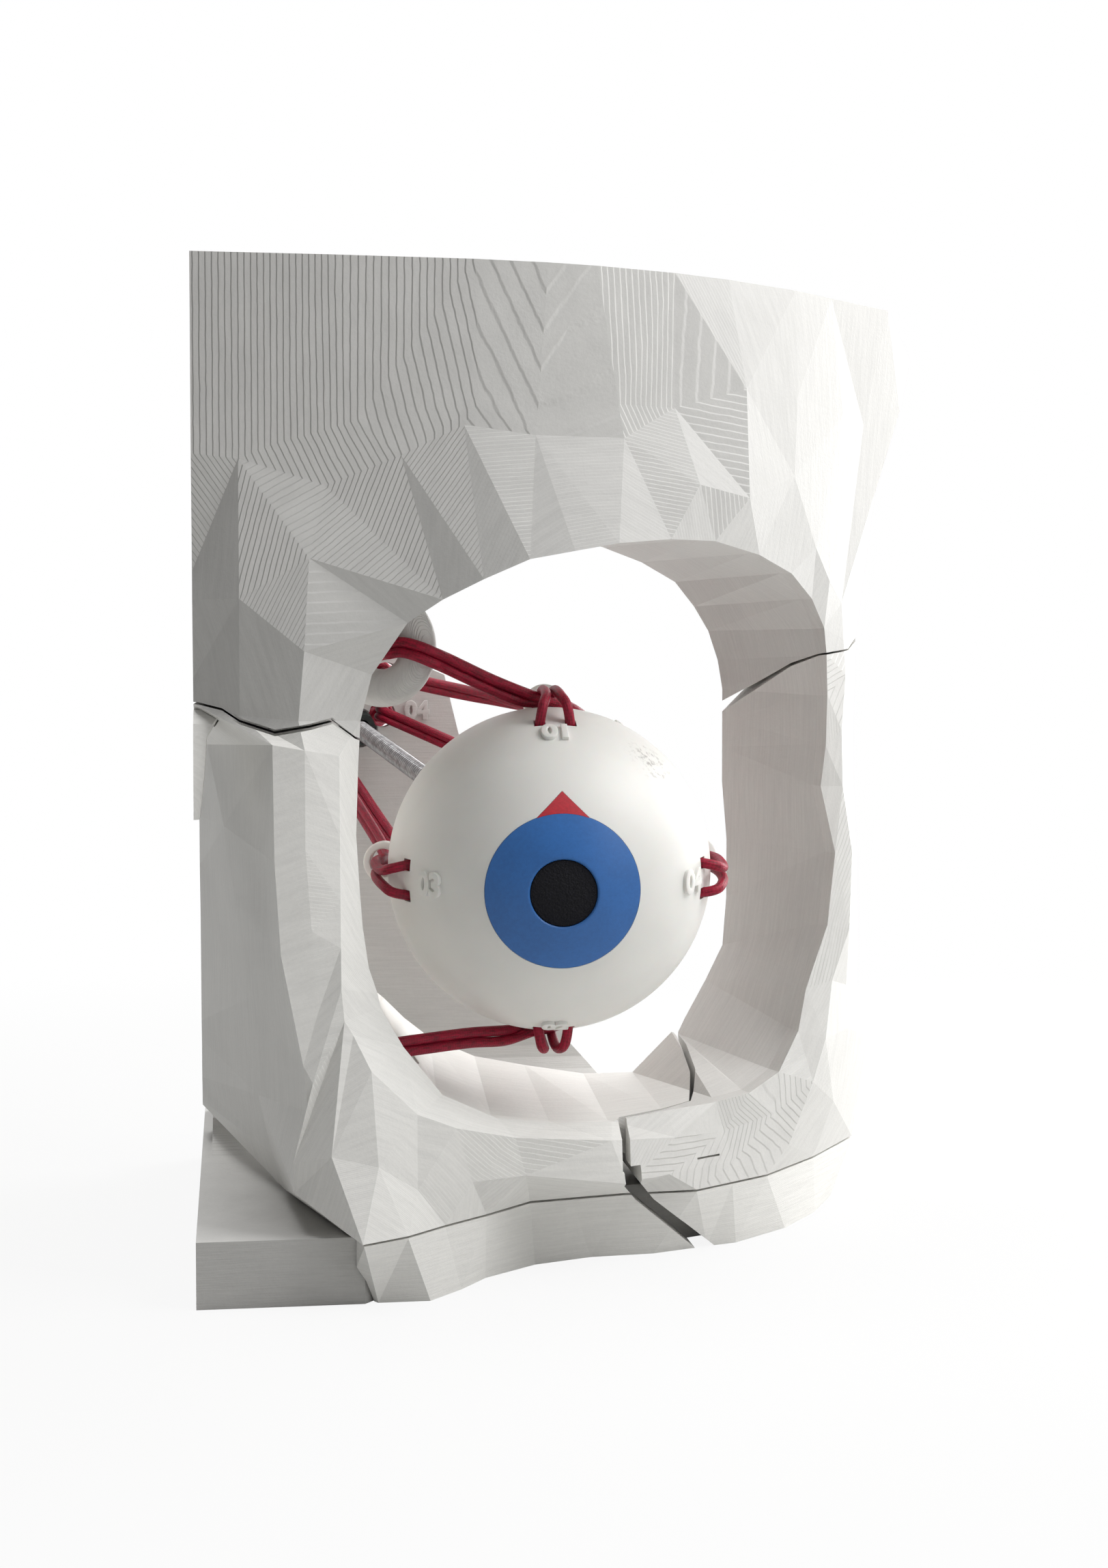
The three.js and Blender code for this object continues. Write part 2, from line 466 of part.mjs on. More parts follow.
function addRod() {
  const front = ROD_LENGTH - BALL_RADIUS + ROD_IN_BALL;
  addPart("threaded_rod", cylinder(ROD_RADIUS, rodPoint(-ROD_TAIL), rodPoint(front)), STEEL);
  addPart("front_nut", hexNut(NUT_SEAT_DEPTH + FIT_GAP, NUT_SEAT_DEPTH + FIT_GAP + NUT_THICKNESS), DARK_STEEL);
  const slant = BACKWARD.dot(rodPoint(-1).sub(rodPoint(0)));
  const rearFace = -PLATE_THICKNESS / slant - NUT_ACROSS_CORNERS / 4;
  addPart("rear_nut", hexNut(rearFace - NUT_THICKNESS, rearFace), DARK_STEEL);
  const bore = cylinder(ROD_RADIUS + FIT_GAP, rodPoint(ROD_LENGTH - BALL_RADIUS - 4), rodPoint(front + FIT_GAP));
  addPart("pivot_ball", sphereAt(EYE, BALL_RADIUS).subtract(bore), STEEL);
}

function sphereAt(centre, radius, around = 20, down = 12) {
  return solid(new THREE.SphereGeometry(radius, around, down).translate(centre.x, centre.y, centre.z));
}

// Trochlea: the pulley ring of the upper oblique muscle, a thick rounded ring let into the brow.
function trochleaRing(extra) {
  const middle = (TROCHLEA_OUTER_RADIUS + TROCHLEA_HOLE_RADIUS) / 2;
  const half = (TROCHLEA_OUTER_RADIUS - TROCHLEA_HOLE_RADIUS) / 2;
  const profile = [];
  for (let i = 0; i <= RING_SIDES; i++) {
    const turn = (i / RING_SIDES) * Math.PI * 2 + Math.PI / RING_SIDES;
    profile.push([middle + (half + extra) * Math.cos(turn), (TROCHLEA_THICKNESS / 2 + extra) * Math.sin(turn) * 1.1]);
  }
  profile[RING_SIDES] = profile[0];
  const facing = new THREE.Vector3(Math.sin(TROCHLEA_TURN), -Math.cos(TROCHLEA_TURN), 0);
  return turned(profile, TROCHLEA_CENTRE, TROCHLEA_CENTRE.clone().sub(facing), 28);
}

// Eyeball. Its own frame looks along -Y from the centre; the resting gaze turns that frame.
const GAZE = new THREE.Quaternion().setFromEuler(
  new THREE.Euler(THREE.MathUtils.degToRad(GAZE_DOWN_DEG), 0, THREE.MathUtils.degToRad(-GAZE_IN_DEG), "ZXY"));
const degreesAt = (radius) => THREE.MathUtils.radToDeg(Math.asin(radius / GLOBE_RADIUS));
const IRIS_DEG = degreesAt(IRIS_RADIUS);
const PUPIL_DEG = degreesAt(PUPIL_RADIUS);

const toward = (x, y, z) => new THREE.Vector3(x, y, z).normalize();
function fromGaze(muscleSide, degrees) {
  const angle = THREE.MathUtils.degToRad(degrees);
  return FORWARD.clone().multiplyScalar(Math.cos(angle)).addScaledVector(muscleSide, Math.sin(angle));
}

// Where each muscle's cord meets the eyeball: its eyelet and the pair of slots beyond it.
const INSERTIONS = {
  superior_rectus: { eyelet: fromGaze(toward(0, 0, 1), 112), slots: fromGaze(toward(0, 0, 1), 70) },
  inferior_rectus: { eyelet: fromGaze(toward(0, 0, -1), 112), slots: fromGaze(toward(0, 0, -1), 70) },
  medial_rectus: { eyelet: fromGaze(toward(-1, 0, 0), 107), slots: fromGaze(toward(-1, 0, 0), 64) },
  lateral_rectus: { eyelet: fromGaze(toward(1, 0, 0), 112), slots: fromGaze(toward(1, 0, 0), 64) },
  superior_oblique: { eyelet: toward(0.42, 0.58, 0.7), slots: toward(0.76, 0.5, 0.41) },
  inferior_oblique: { eyelet: toward(0.42, 0.54, -0.73), slots: toward(0.76, 0.5, -0.41) },
};

// Frame of an insertion: `out` from the centre, `along` from the eyelet to the slots, `side` across.
function insertionFrame({ eyelet, slots }, atSlots) {
  const out = (atSlots ? slots : eyelet).clone();
  const side = new THREE.Vector3().crossVectors(slots, eyelet).normalize();
  const along = new THREE.Vector3().crossVectors(out, side).normalize();
  return { out, side, along };
}

function placed(geometry, { out, side, along }, distance) {
  const matrix = new THREE.Matrix4().makeBasis(side, along, out).setPosition(out.clone().multiplyScalar(distance));
  return solid(geometry.applyMatrix4(matrix));
}

// Two slots joined under a bar, for the doubled end of a cord.
const SLOT_FLOOR = GLOBE_RADIUS + 1 - SLOT_DEPTH;

function slotPair(insertion) {
  const frame = insertionFrame(insertion, true);
  const slot = (sign) => placed(
    new THREE.BoxGeometry(SLOT_WIDTH, SLOT_LENGTH, SLOT_DEPTH).translate(sign * SLOT_SPREAD, 0, 0), frame,
    SLOT_FLOOR + SLOT_DEPTH / 2);
  const tunnel = placed(new THREE.BoxGeometry(2 * SLOT_SPREAD, SLOT_LENGTH, TUNNEL_HEIGHT), frame,
    SLOT_FLOOR + TUNNEL_HEIGHT / 2);
  return slot(1).add(slot(-1)).add(tunnel);
}

function eyelet(insertion) {
  const frame = insertionFrame(insertion, false);
  const half = EYELET_THICKNESS / 2;
  const profile = [[EYELET_HOLE_RADIUS, -half], [EYELET_OUTER_RADIUS, -half], [EYELET_OUTER_RADIUS, half],
    [EYELET_HOLE_RADIUS, half], [EYELET_HOLE_RADIUS, -half]];
  const points = profile.map(([r, h]) => new THREE.Vector2(r, h));
  return placed(new THREE.LatheGeometry(points, 16), frame, GLOBE_RADIUS + EYELET_OFFSET);
}

// Closed ring or cap of a shell round the gaze axis, between two angles from it.
function shellCap(inner, outer, fromDeg, toDeg, steps = 3) {
  const arc = (radius, from, to) => Array.from({ length: steps + 1 }, (_, i) => {
    const angle = THREE.MathUtils.degToRad(from + ((to - from) * i) / steps);
    return [fromDeg === 0 && angle < 1e-6 ? 0 : radius * Math.sin(angle), radius * Math.cos(angle)];
  });
  const profile = [...arc(inner, fromDeg, toDeg), ...arc(outer, toDeg, fromDeg)];
  if (fromDeg > 0) profile.push(profile[0]);
  return turned(profile, ORIGIN, FORWARD, 40);
}

// Cone round the rod at rest, which leaves the eye room to turn about it.
const ROD_FROM_EYE = ROD_FOOT.clone().sub(EYE).applyQuaternion(GAZE.clone().invert());
function coneBack(halfAngleDeg, length) {
  const radius = length * Math.tan(THREE.MathUtils.degToRad(halfAngleDeg));
  return turned([[0, 0], [radius, length], [0, length]], ORIGIN, ROD_FROM_EYE, 32);
}

// Red pointer above the iris, a triangle let into the surface.
function markerTriangle(extra, inner, outer) {
  const outline = [[-4.9 - 2 * extra, 12.6], [4.9 + 2 * extra, 12.6], [0, 17.3 + 2 * extra]];
  const prism = prismBack(shapeOf(outline), -40, 0);
  const aroundIris = shellCap(inner - 2, outer + 2, 0, IRIS_DEG + (extra > 0 ? 0.2 : 1.2), 2);
  return prism.intersect(sphereAt(ORIGIN, outer, 40, 26)).subtract(sphereAt(ORIGIN, inner, 40, 26)).subtract(aroundIris);
}

function globe() {
  const seat = GLOBE_RADIUS - INLAY_THICKNESS - FIT_GAP;
  const cuts = [
    coneBack(GLOBE_OPENING_DEG, 40),
    sphereAt(ORIGIN, BALL_RADIUS + 2 * LINER_WALL + 3 * FIT_GAP),
    shellCap(seat, GLOBE_RADIUS + 2, 0, IRIS_DEG + 0.6),
    markerTriangle(FIT_GAP, seat, GLOBE_RADIUS + 2),
    ...Object.values(INSERTIONS).map(slotPair),
  ];
  const rings = Object.values(INSERTIONS).map(eyelet);
  const holes = Object.values(INSERTIONS).map((insertion) => {
    const frame = insertionFrame(insertion, false);
    return placed(new THREE.CylinderGeometry(EYELET_HOLE_RADIUS, EYELET_HOLE_RADIUS, 9, 16), frame,
      GLOBE_RADIUS + EYELET_OFFSET);
  });
  const ball = sphereAt(ORIGIN, GLOBE_RADIUS, 36, 24);
  return largest(cutAll(rings.reduce((body, ring) => body.add(ring), ball), [...holes, ...cuts]).decompose());
}

function turningCup(inner, outer) {
  return sphereAt(ORIGIN, outer).subtract(sphereAt(ORIGIN, inner)).subtract(coneBack(CUP_OPENING_DEG, 20));
}

function addEye() {
  const inlay = GLOBE_RADIUS - INLAY_THICKNESS;
  const firstCup = BALL_RADIUS + FIT_GAP;
  const secondCup = firstCup + LINER_WALL + FIT_GAP;
  const pieces = [
    ["eyeball_globe", globe(), WHITE],
    ["iris_ring", shellCap(inlay, GLOBE_RADIUS + 0.1, PUPIL_DEG + 0.5, IRIS_DEG), BLUE],
    ["pupil_disc", shellCap(inlay, GLOBE_RADIUS - 0.2, 0, PUPIL_DEG, 2), BLACK],
    ["marker_triangle", markerTriangle(0, inlay, GLOBE_RADIUS + 0.1), RED],
    ["inner_pivot_cup", turningCup(firstCup, firstCup + LINER_WALL), WHITE],
    ["outer_pivot_cup", turningCup(secondCup, secondCup + LINER_WALL), WHITE],
  ];
  for (const [name, shape, finish] of pieces) {
    addPart(name, shape, finish);
    const mesh = model.children[model.children.length - 1];
    mesh.quaternion.copy(GAZE);
    mesh.position.copy(EYE).sub(FOOTPRINT_CENTRE);
  }
}

// The upper oblique's cord goes through the ring, over its front face and round its outer edge.
function throughTrochlea() {
  const across = new THREE.Vector3(Math.cos(TROCHLEA_TURN), Math.sin(TROCHLEA_TURN), 0);
  const facing = new THREE.Vector3(Math.sin(TROCHLEA_TURN), -Math.cos(TROCHLEA_TURN), 0);
  const path = [[0.9, -3.5, 0], [1.5, 0, 0], [3, 3.1, 0], [6.2, 4.8, -0.1], [9.8, 4.6, -0.3], [12.5, 2.6, -0.6],
    [13.4, -0.8, -1.1]];
  return path.map(([side, ahead, up]) => TROCHLEA_CENTRE.clone().addScaledVector(across, side)
    .addScaledVector(facing, ahead).setZ(TROCHLEA_CENTRE.z + up).toArray());
}

// A place over the eyeball, `height` above its surface, in the direction (x, y, z) from its centre.
function overGlobe(x, y, z, height) {
  return toward(x, y, z).multiplyScalar(GLOBE_RADIUS + height).add(EYE).toArray();
}

// Muscle cords: each is one elastic cord, doubled, knotted behind the back plate and looped under its bar.
// Free points of the route between the hole and the eyelet, in the order of travel.
const ROUTES = {
  superior_rectus: [[48.3, 89.3, 105.6], [56.6, 66.7, 103.6]],
  inferior_rectus: [[45, 80, 66]],
  medial_rectus: [[28.8, 78, 87.4]],
  lateral_rectus: [[66, 80, 88]],
  superior_oblique: [[31, 80, 109], [34, 50, 112.3], ...throughTrochlea(),
    overGlobe(-11, -0.6, 35, 6.7), overGlobe(-5, 1.2, 32, 2.32), overGlobe(0, 2.6, 31.8, 1.78),
    overGlobe(4, 4.6, 31.3, 1.89), overGlobe(8, 8.2, 30, 2.11)],
  inferior_oblique: [[39, 22, 41], overGlobe(-15, -3, -31, 4.57), overGlobe(-8, 2, -31.5, 2.56),
    overGlobe(-3, 5.2, -31.1, 1.67), overGlobe(1, 7.4, -30.7, 1.6), overGlobe(6, 10.8, -29, 1.52)],
};
const BRIDGING = ["superior_rectus", "inferior_rectus"]; // their loops stand over an oblique's cord
const OBLIQUE_ANCHOR = new THREE.Vector3(29.5, 14.5, 42.3); // hole in the jaw bone for the lower oblique's cord
const OBLIQUE_EXIT = new THREE.Vector3(33, 18, 41.2);

function cordPassage() {
  return cylinder(HOLE_RADIUS, OBLIQUE_ANCHOR, OBLIQUE_EXIT.clone().add(new THREE.Vector3(8, 8, -1.5)), 16);
}

const onEye = (vector) => vector.clone().applyQuaternion(GAZE).add(EYE);

function cordRoute(name) {
  const insertion = INSERTIONS[name];
  const atEyelet = insertionFrame(insertion, false);
  const atSlots = insertionFrame(insertion, true);
  const lift = GLOBE_RADIUS + CORD_RADIUS + FIT_GAP;
  const place = (frame, height, ahead, across) => onEye(frame.out.clone().multiplyScalar(height)
    .addScaledVector(frame.along, ahead).addScaledVector(frame.side, across));
  const hole = PLATE_HOLES[name];
  const start = hole
    ? [[hole[0], PLATE_FRONT_Y + PLATE_THICKNESS + 3, hole[1]], [hole[0], PLATE_FRONT_Y + 1, hole[1]]]
    : [[30.2, 15.2, 42.1], [34, 19, 41]];
  const free = [...start, ...ROUTES[name]].map((point) => new THREE.Vector3(...point));
  const last = place(atEyelet, GLOBE_RADIUS + EYELET_OFFSET, 0, 0);
  const side = atEyelet.side.clone().applyQuaternion(GAZE);
  const upright = new THREE.Vector3(0, 0, side.z < 0 ? -1 : 1);
  const rise = BRIDGING.includes(name) ? BRIDGE_RISE : LOOP_RISE;
  const strand = (sign) => {
    const points = free.map((point, i) => {
      const next = free[i + 1] ?? last;
      const run = next.clone().sub(point).normalize();
      const across = upright.clone().lerp(side, i / free.length);
      across.addScaledVector(run, -across.dot(run)).normalize();
      return point.clone().addScaledVector(across, sign * STRAND_SPREAD);
    });
    points.push(place(atEyelet, lift + 0.5, -2, sign * STRAND_SPREAD));
    points.push(place(atEyelet, lift + 0.5, 2.2, sign * STRAND_SPREAD));
    const crest = insertionFrame(insertion, true);
    crest.out.lerp(atEyelet.out, 0.7).normalize();
    if (atSlots.out.angleTo(atEyelet.out) > LONG_WRAP) {
      points.push(place(crest, lift + rise, 0, sign * (STRAND_SPREAD + 0.2)));
    }
    points.push(place(atSlots, lift + rise, -4.6, sign * (SLOT_SPREAD - 0.6)));
    points.push(place(atSlots, lift + rise * 0.8, -1.2, sign * SLOT_SPREAD));
    points.push(place(atSlots, GLOBE_RADIUS - 1.2, 0, sign * SLOT_SPREAD));
    return points;
  };
  const under = place(atSlots, SLOT_FLOOR + CORD_RADIUS + FIT_GAP, 0, 0);
  const turnLow = (sign) => place(atSlots, SLOT_FLOOR + CORD_RADIUS + 2 * FIT_GAP, 0, sign * (SLOT_SPREAD - 0.3));
  return [...strand(1), turnLow(1), under, turnLow(-1), ...strand(-1).reverse()];
}

function addCord(name) {
  const curve = new THREE.CatmullRomCurve3(cordRoute(name), false, "centripetal");
  const section = shapeOf(Array.from({ length: CORD_SIDES }, (_, i) => {
    const turn = (i / CORD_SIDES) * Math.PI * 2;
    return [CORD_RADIUS * Math.cos(turn), CORD_RADIUS * Math.sin(turn)];
  }));
  const steps = Math.min(MOST_CORD_STEPS, Math.round(curve.getLength() / CORD_STEP_LENGTH));
  const tube = solid(new THREE.ExtrudeGeometry(section, { steps, bevelEnabled: false, extrudePath: curve }));
  const hole = PLATE_HOLES[name];
  const knotAt = hole
    ? new THREE.Vector3(hole[0], PLATE_FRONT_Y + PLATE_THICKNESS + FIT_GAP + KNOT_RADIUS, hole[1])
    : null;
  addPart(`${name}_cord`, knotAt ? tube.add(sphereAt(knotAt, KNOT_RADIUS, 8, 6)) : tube, CORD);
}

function addBase() {
  addPart("base_slab", baseSlab(), BASE);
  const [first, second] = feet().sort((a, b) => a.boundingBox().min[0] - b.boundingBox().min[0]);
  addPart("maxilla_foot", first, BASE);
  addPart("zygomatic_foot", second, BASE);
}

addBase();
addBones();
addPart("trochlea_ring", trochleaRing(0), BONE);
addRod();
addEye();
Object.keys(INSERTIONS).forEach(addCord);

export default model;
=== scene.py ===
"""Eye muscle model: the fine surface of a half face with a turning eyeball and six doubled elastic cords.

The numbers in millimetres count x from the middle cut of the face, y from the front of the base slab and
z from the table, as the solids' source does. frame_points moves them to the frame of the solids.
"""

import math

import bmesh
import bpy
import numpy as np
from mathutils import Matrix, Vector


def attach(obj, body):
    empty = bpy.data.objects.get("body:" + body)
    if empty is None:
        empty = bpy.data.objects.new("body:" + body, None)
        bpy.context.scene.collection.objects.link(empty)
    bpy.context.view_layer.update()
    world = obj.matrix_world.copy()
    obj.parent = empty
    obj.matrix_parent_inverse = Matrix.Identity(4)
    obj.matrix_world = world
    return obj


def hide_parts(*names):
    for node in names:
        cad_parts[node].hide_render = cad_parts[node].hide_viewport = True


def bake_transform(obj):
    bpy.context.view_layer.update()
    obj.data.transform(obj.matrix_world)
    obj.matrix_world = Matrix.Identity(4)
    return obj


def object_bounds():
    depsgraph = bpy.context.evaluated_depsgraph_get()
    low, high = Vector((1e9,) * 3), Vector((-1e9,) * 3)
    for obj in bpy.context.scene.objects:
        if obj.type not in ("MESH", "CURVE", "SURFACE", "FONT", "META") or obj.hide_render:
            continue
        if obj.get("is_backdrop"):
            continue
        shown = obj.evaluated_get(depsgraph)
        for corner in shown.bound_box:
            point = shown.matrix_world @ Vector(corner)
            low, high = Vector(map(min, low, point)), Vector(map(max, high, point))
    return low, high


bl_info = {
    "name": "Eye Muscle Model",
    "version": (1, 0, 0),
    "blender": (4, 5, 0),
    "location": "View3D > Sidebar > Eye Model",
    "description": "Finishes the printed half face, its eyeball, pulley ring, rod and elastic cords",
    "category": "Add Mesh",
}

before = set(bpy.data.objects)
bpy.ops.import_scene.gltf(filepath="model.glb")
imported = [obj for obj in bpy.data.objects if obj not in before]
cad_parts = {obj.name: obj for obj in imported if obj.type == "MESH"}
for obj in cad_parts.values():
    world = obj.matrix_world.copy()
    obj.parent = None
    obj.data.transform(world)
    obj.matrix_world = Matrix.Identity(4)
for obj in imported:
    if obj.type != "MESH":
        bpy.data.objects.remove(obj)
CAD_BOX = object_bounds()

MM = 0.001
FOOTPRINT_CENTRE = np.array([72.0, 60.5, 0.0])
EYE = np.array([65.0, 32.0, 72.0])
GAZE_IN = math.radians(2.7)
GAZE_DOWN = math.radians(3.8)
ROD_FOOT = np.array([33.5, 112.0, 96.5])
PLATE_FRONT_Y = 112.0
PLATE_BACK_Y = 119.0
CLEARANCE = 0.3
SHARP_EDGE = math.radians(32)
UP = (0.0, 0.0, 1.0)
BROW_LEAN = math.radians(10.5)
BROW_BUILD = (math.sin(BROW_LEAN), -math.cos(BROW_LEAN), 0.0)
JAW_BUILD = (0.204, -0.940, -0.274)
CHEEK_BUILD = (0.627, -0.778, -0.040)


def unit(vector):
    """The vector divided by its length."""
    vector = np.asarray(vector, float)
    return vector / np.linalg.norm(vector, axis=-1, keepdims=True)


def turn_x(angle):
    """Matrix that turns by an angle about x."""
    c, s = math.cos(angle), math.sin(angle)
    return np.array([[1, 0, 0], [0, c, -s], [0, s, c]])


def turn_z(angle):
    """Matrix that turns by an angle about z."""
    c, s = math.cos(angle), math.sin(angle)
    return np.array([[c, -s, 0], [s, c, 0], [0, 0, 1]])


GAZE = turn_z(-GAZE_IN) @ turn_x(GAZE_DOWN)


def frame_points(points):
    """Millimetres of the drawing to metres of the solids' frame: the footprint's centre becomes zero."""
    return (np.asarray(points, float) - FOOTPRINT_CENTRE) * MM


def on_eye(points):
    """Points of the eyeball's own frame, which looks along -y, turned to the resting gaze."""
    return np.asarray(points, float) @ GAZE.T + EYE


def axis_frame(axis, near=UP):
    """Rows a, b, axis of a right-handed frame: b is near made square to the axis, a completes it."""
    c = unit(axis)
    b = np.asarray(near, float)
    if abs(float(b @ c)) > 0.95:
        b = np.array([1.0, 0.0, 0.0])
    b = unit(b - (b @ c) * c)
    return np.array([np.cross(b, c), b, c])


# Meshes from grids of points


def finished(name, mesh, sharp=SHARP_EDGE, merge=1e-7):
    """One object at the origin: doubles merged, faces outwards, smooth but for edges over an angle."""
    work = bmesh.new()
    work.from_mesh(mesh)
    bmesh.ops.remove_doubles(work, verts=work.verts, dist=merge)
    bmesh.ops.dissolve_degenerate(work, dist=merge, edges=work.edges)
    bmesh.ops.recalc_face_normals(work, faces=work.faces)
    work.to_mesh(mesh)
    work.free()
    mesh.name = name
    mesh.polygons.foreach_set("use_smooth", np.ones(len(mesh.polygons), bool))
    mesh.set_sharp_from_angle(angle=sharp)
    mesh.update()
    piece = bpy.data.objects.new(name, mesh)
    bpy.context.scene.collection.objects.link(piece)
    return piece


def new_mesh(name, points, faces):
    """Mesh of points in drawing millimetres and the corners of each face."""
    mesh = bpy.data.meshes.new(name)
    mesh.from_pydata(frame_points(points).tolist(), [], faces)
    mesh.update()
    return mesh


def values_of(items, key, width=1, kind=float):
    """One property of a mesh's items as an array, with a row of numbers for each item if it is wider."""
    values = np.empty(len(items) * width, kind)
    items.foreach_get(key, values)
    return values.reshape(-1, width) if width > 1 else values


def grid_faces(rows, columns, wrap_rows, wrap_columns, start=0):
    """Four corners of each cell of a grid that may close on itself in either direction."""
    r = np.arange(rows if wrap_rows else rows - 1)
    c = np.arange(columns if wrap_columns else columns - 1)
    r, c = np.meshgrid(r, c, indexing="ij")
    r2, c2 = (r + 1) % rows, (c + 1) % columns
    cells = np.stack([r * columns + c, r2 * columns + c, r2 * columns + c2, r * columns + c2], -1)
    return cells.reshape(-1, 4) + start


def grid_mesh(grids, wrap_rows=False, capped=False):
    """Mesh of grids (rows, columns, 3) whose columns go round; capped ends are single faces."""
    points, faces, start = [], [], 0
    for grid in grids:
        rows, columns = grid.shape[:2]
        points.append(grid.reshape(-1, 3))
        faces += grid_faces(rows, columns, wrap_rows, True, start).tolist()
        if capped:
            first = np.arange(columns) + start
            faces.append(first[::-1].tolist())
            faces.append((first + (rows - 1) * columns).tolist())
        start += rows * columns
    return new_mesh("grid", np.concatenate(points), faces)


def full_turn(steps):
    """Even angles round a circle."""
    return np.arange(steps) / steps * 2 * math.pi


def circle(angle, a, b):
    """Unit vectors at the angles, counted from a towards b: cosine times a plus sine times b."""
    return np.cos(angle)[..., None] * a + np.sin(angle)[..., None] * b


def turned(profile, axis, centre=(0.0, 0.0, 0.0), around=96):
    """Surface of revolution: each (radius, height) of the profile goes round the axis through the centre."""
    profile = np.asarray(profile, float)
    a, b, c = axis_frame(axis)
    ring = circle(full_turn(around), a, b)
    return np.asarray(centre) + profile[:, None, :1] * ring[None] + profile[:, None, 1:] * c


def turned_piece(name, profile, axis, around=144, closed=False):
    """Piece turned about an axis through the eye's centre; closed joins the profile's end to its start."""
    return finished(name, grid_mesh([on_eye(turned(profile, axis, around=around))], wrap_rows=closed))


def arc(radius, start, end, steps):
    """(radius, height) points on a circle, the angle in degrees counted from the axis of the turning."""
    angle = np.radians(np.linspace(start, end, steps))
    return np.stack([radius * np.sin(angle), radius * np.cos(angle)], -1)


def spot(radius, degrees):
    """One point of such an arc."""
    return arc(radius, degrees, degrees, 1)


def joined(*stretches):
    """Profile made of several stretches, one after another."""
    return np.concatenate(stretches)


def slab_between(near, far):
    """Closed body between two open grids of the same shape: both skins and a strip along the rim."""
    rows, columns = near.shape[:2]
    index = np.arange(rows * columns).reshape(rows, columns)
    rim = np.concatenate([index[0, :-1], index[:-1, -1], index[-1, :0:-1], index[:0:-1, 0]])
    skin = grid_faces(rows, columns, False, False)
    after = np.roll(rim, -1)
    side = np.stack([rim, after, after + rows * columns, rim + rows * columns], -1)
    faces = np.concatenate([skin, skin[:, ::-1] + rows * columns, side])
    return new_mesh("slab", np.concatenate([near.reshape(-1, 3), far.reshape(-1, 3)]), faces.tolist())


def extruded(outline, across, up, along, half):
    """Closed body: an outline in the plane of across and up, carried from -half to half along an axis."""
    outline = np.asarray(outline, float)
    flat = outline[:, :1] * across + outline[:, 1:] * up
    return np.stack([flat - half * along, flat + half * along])


def carved(name, body, steps):
    """The body joined with or cut by each (operation, tool), with exact booleans, as one new piece."""
    for operation, tool in steps:
        modifier = body.modifiers.new("carve", "BOOLEAN")
        modifier.operation = operation
        modifier.solver = "EXACT"
        modifier.object = tool
    bpy.context.view_layer.update()
    shape = body.evaluated_get(bpy.context.evaluated_depsgraph_get())
    mesh = bpy.data.meshes.new_from_object(shape)
    for thing in [body, *{tool for _, tool in steps}]:
        bpy.data.objects.remove(thing)
    return finished(name, mesh)


def dress(piece, body, finish, replaces=()):
    """Gives a piece its material and body, and hides the solids that it stands for."""
    piece.data.materials.clear()
    piece.data.materials.append(finish)
    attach(piece, body)
    if replaces:
        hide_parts(*replaces)


# Shader maths


class Wire:
    """A value in a material's node tree; sums, products and the like add Math nodes."""

    def __init__(self, finish, socket):
        self.finish = finish
        self.socket = socket

    def math(self, operation, *others, swap=False):
        """A Math node on this value and the others, in reverse order when swapped."""
        values = [self, *others]
        if swap:
            values.reverse()
        return self.finish.node("ShaderNodeMath", {"operation": operation}, dict(enumerate(values)))

    def __add__(self, other):
        return self.math("ADD", other)

    __radd__ = __add__

    def __sub__(self, other):
        return self.math("SUBTRACT", other)

    def __rsub__(self, other):
        return self.math("SUBTRACT", other, swap=True)

    def __mul__(self, other):
        return self.math("MULTIPLY", other)

    __rmul__ = __mul__

    def __truediv__(self, other):
        return self.math("DIVIDE", other)

    def __rtruediv__(self, other):
        return self.math("DIVIDE", other, swap=True)

    def sine(self):
        return self.math("SINE")

    def fraction(self):
        return self.math("FRACT")

    def clamped(self, low, high):
        """0 at low, 1 at high, a smooth step between."""
        values = {"Value": self, "From Min": low, "From Max": high}
        return self.finish.node("ShaderNodeMapRange", {"interpolation_type": "SMOOTHSTEP"}, values)


def toned(colour, factor):
    """The colour times a factor, with no part over 1."""
    return tuple(min(1.0, factor * part) for part in colour)


def opaque(colour):
    """A colour with its alpha; a link is left as it is."""
    return colour if isinstance(colour, Wire) else (*colour, 1.0)


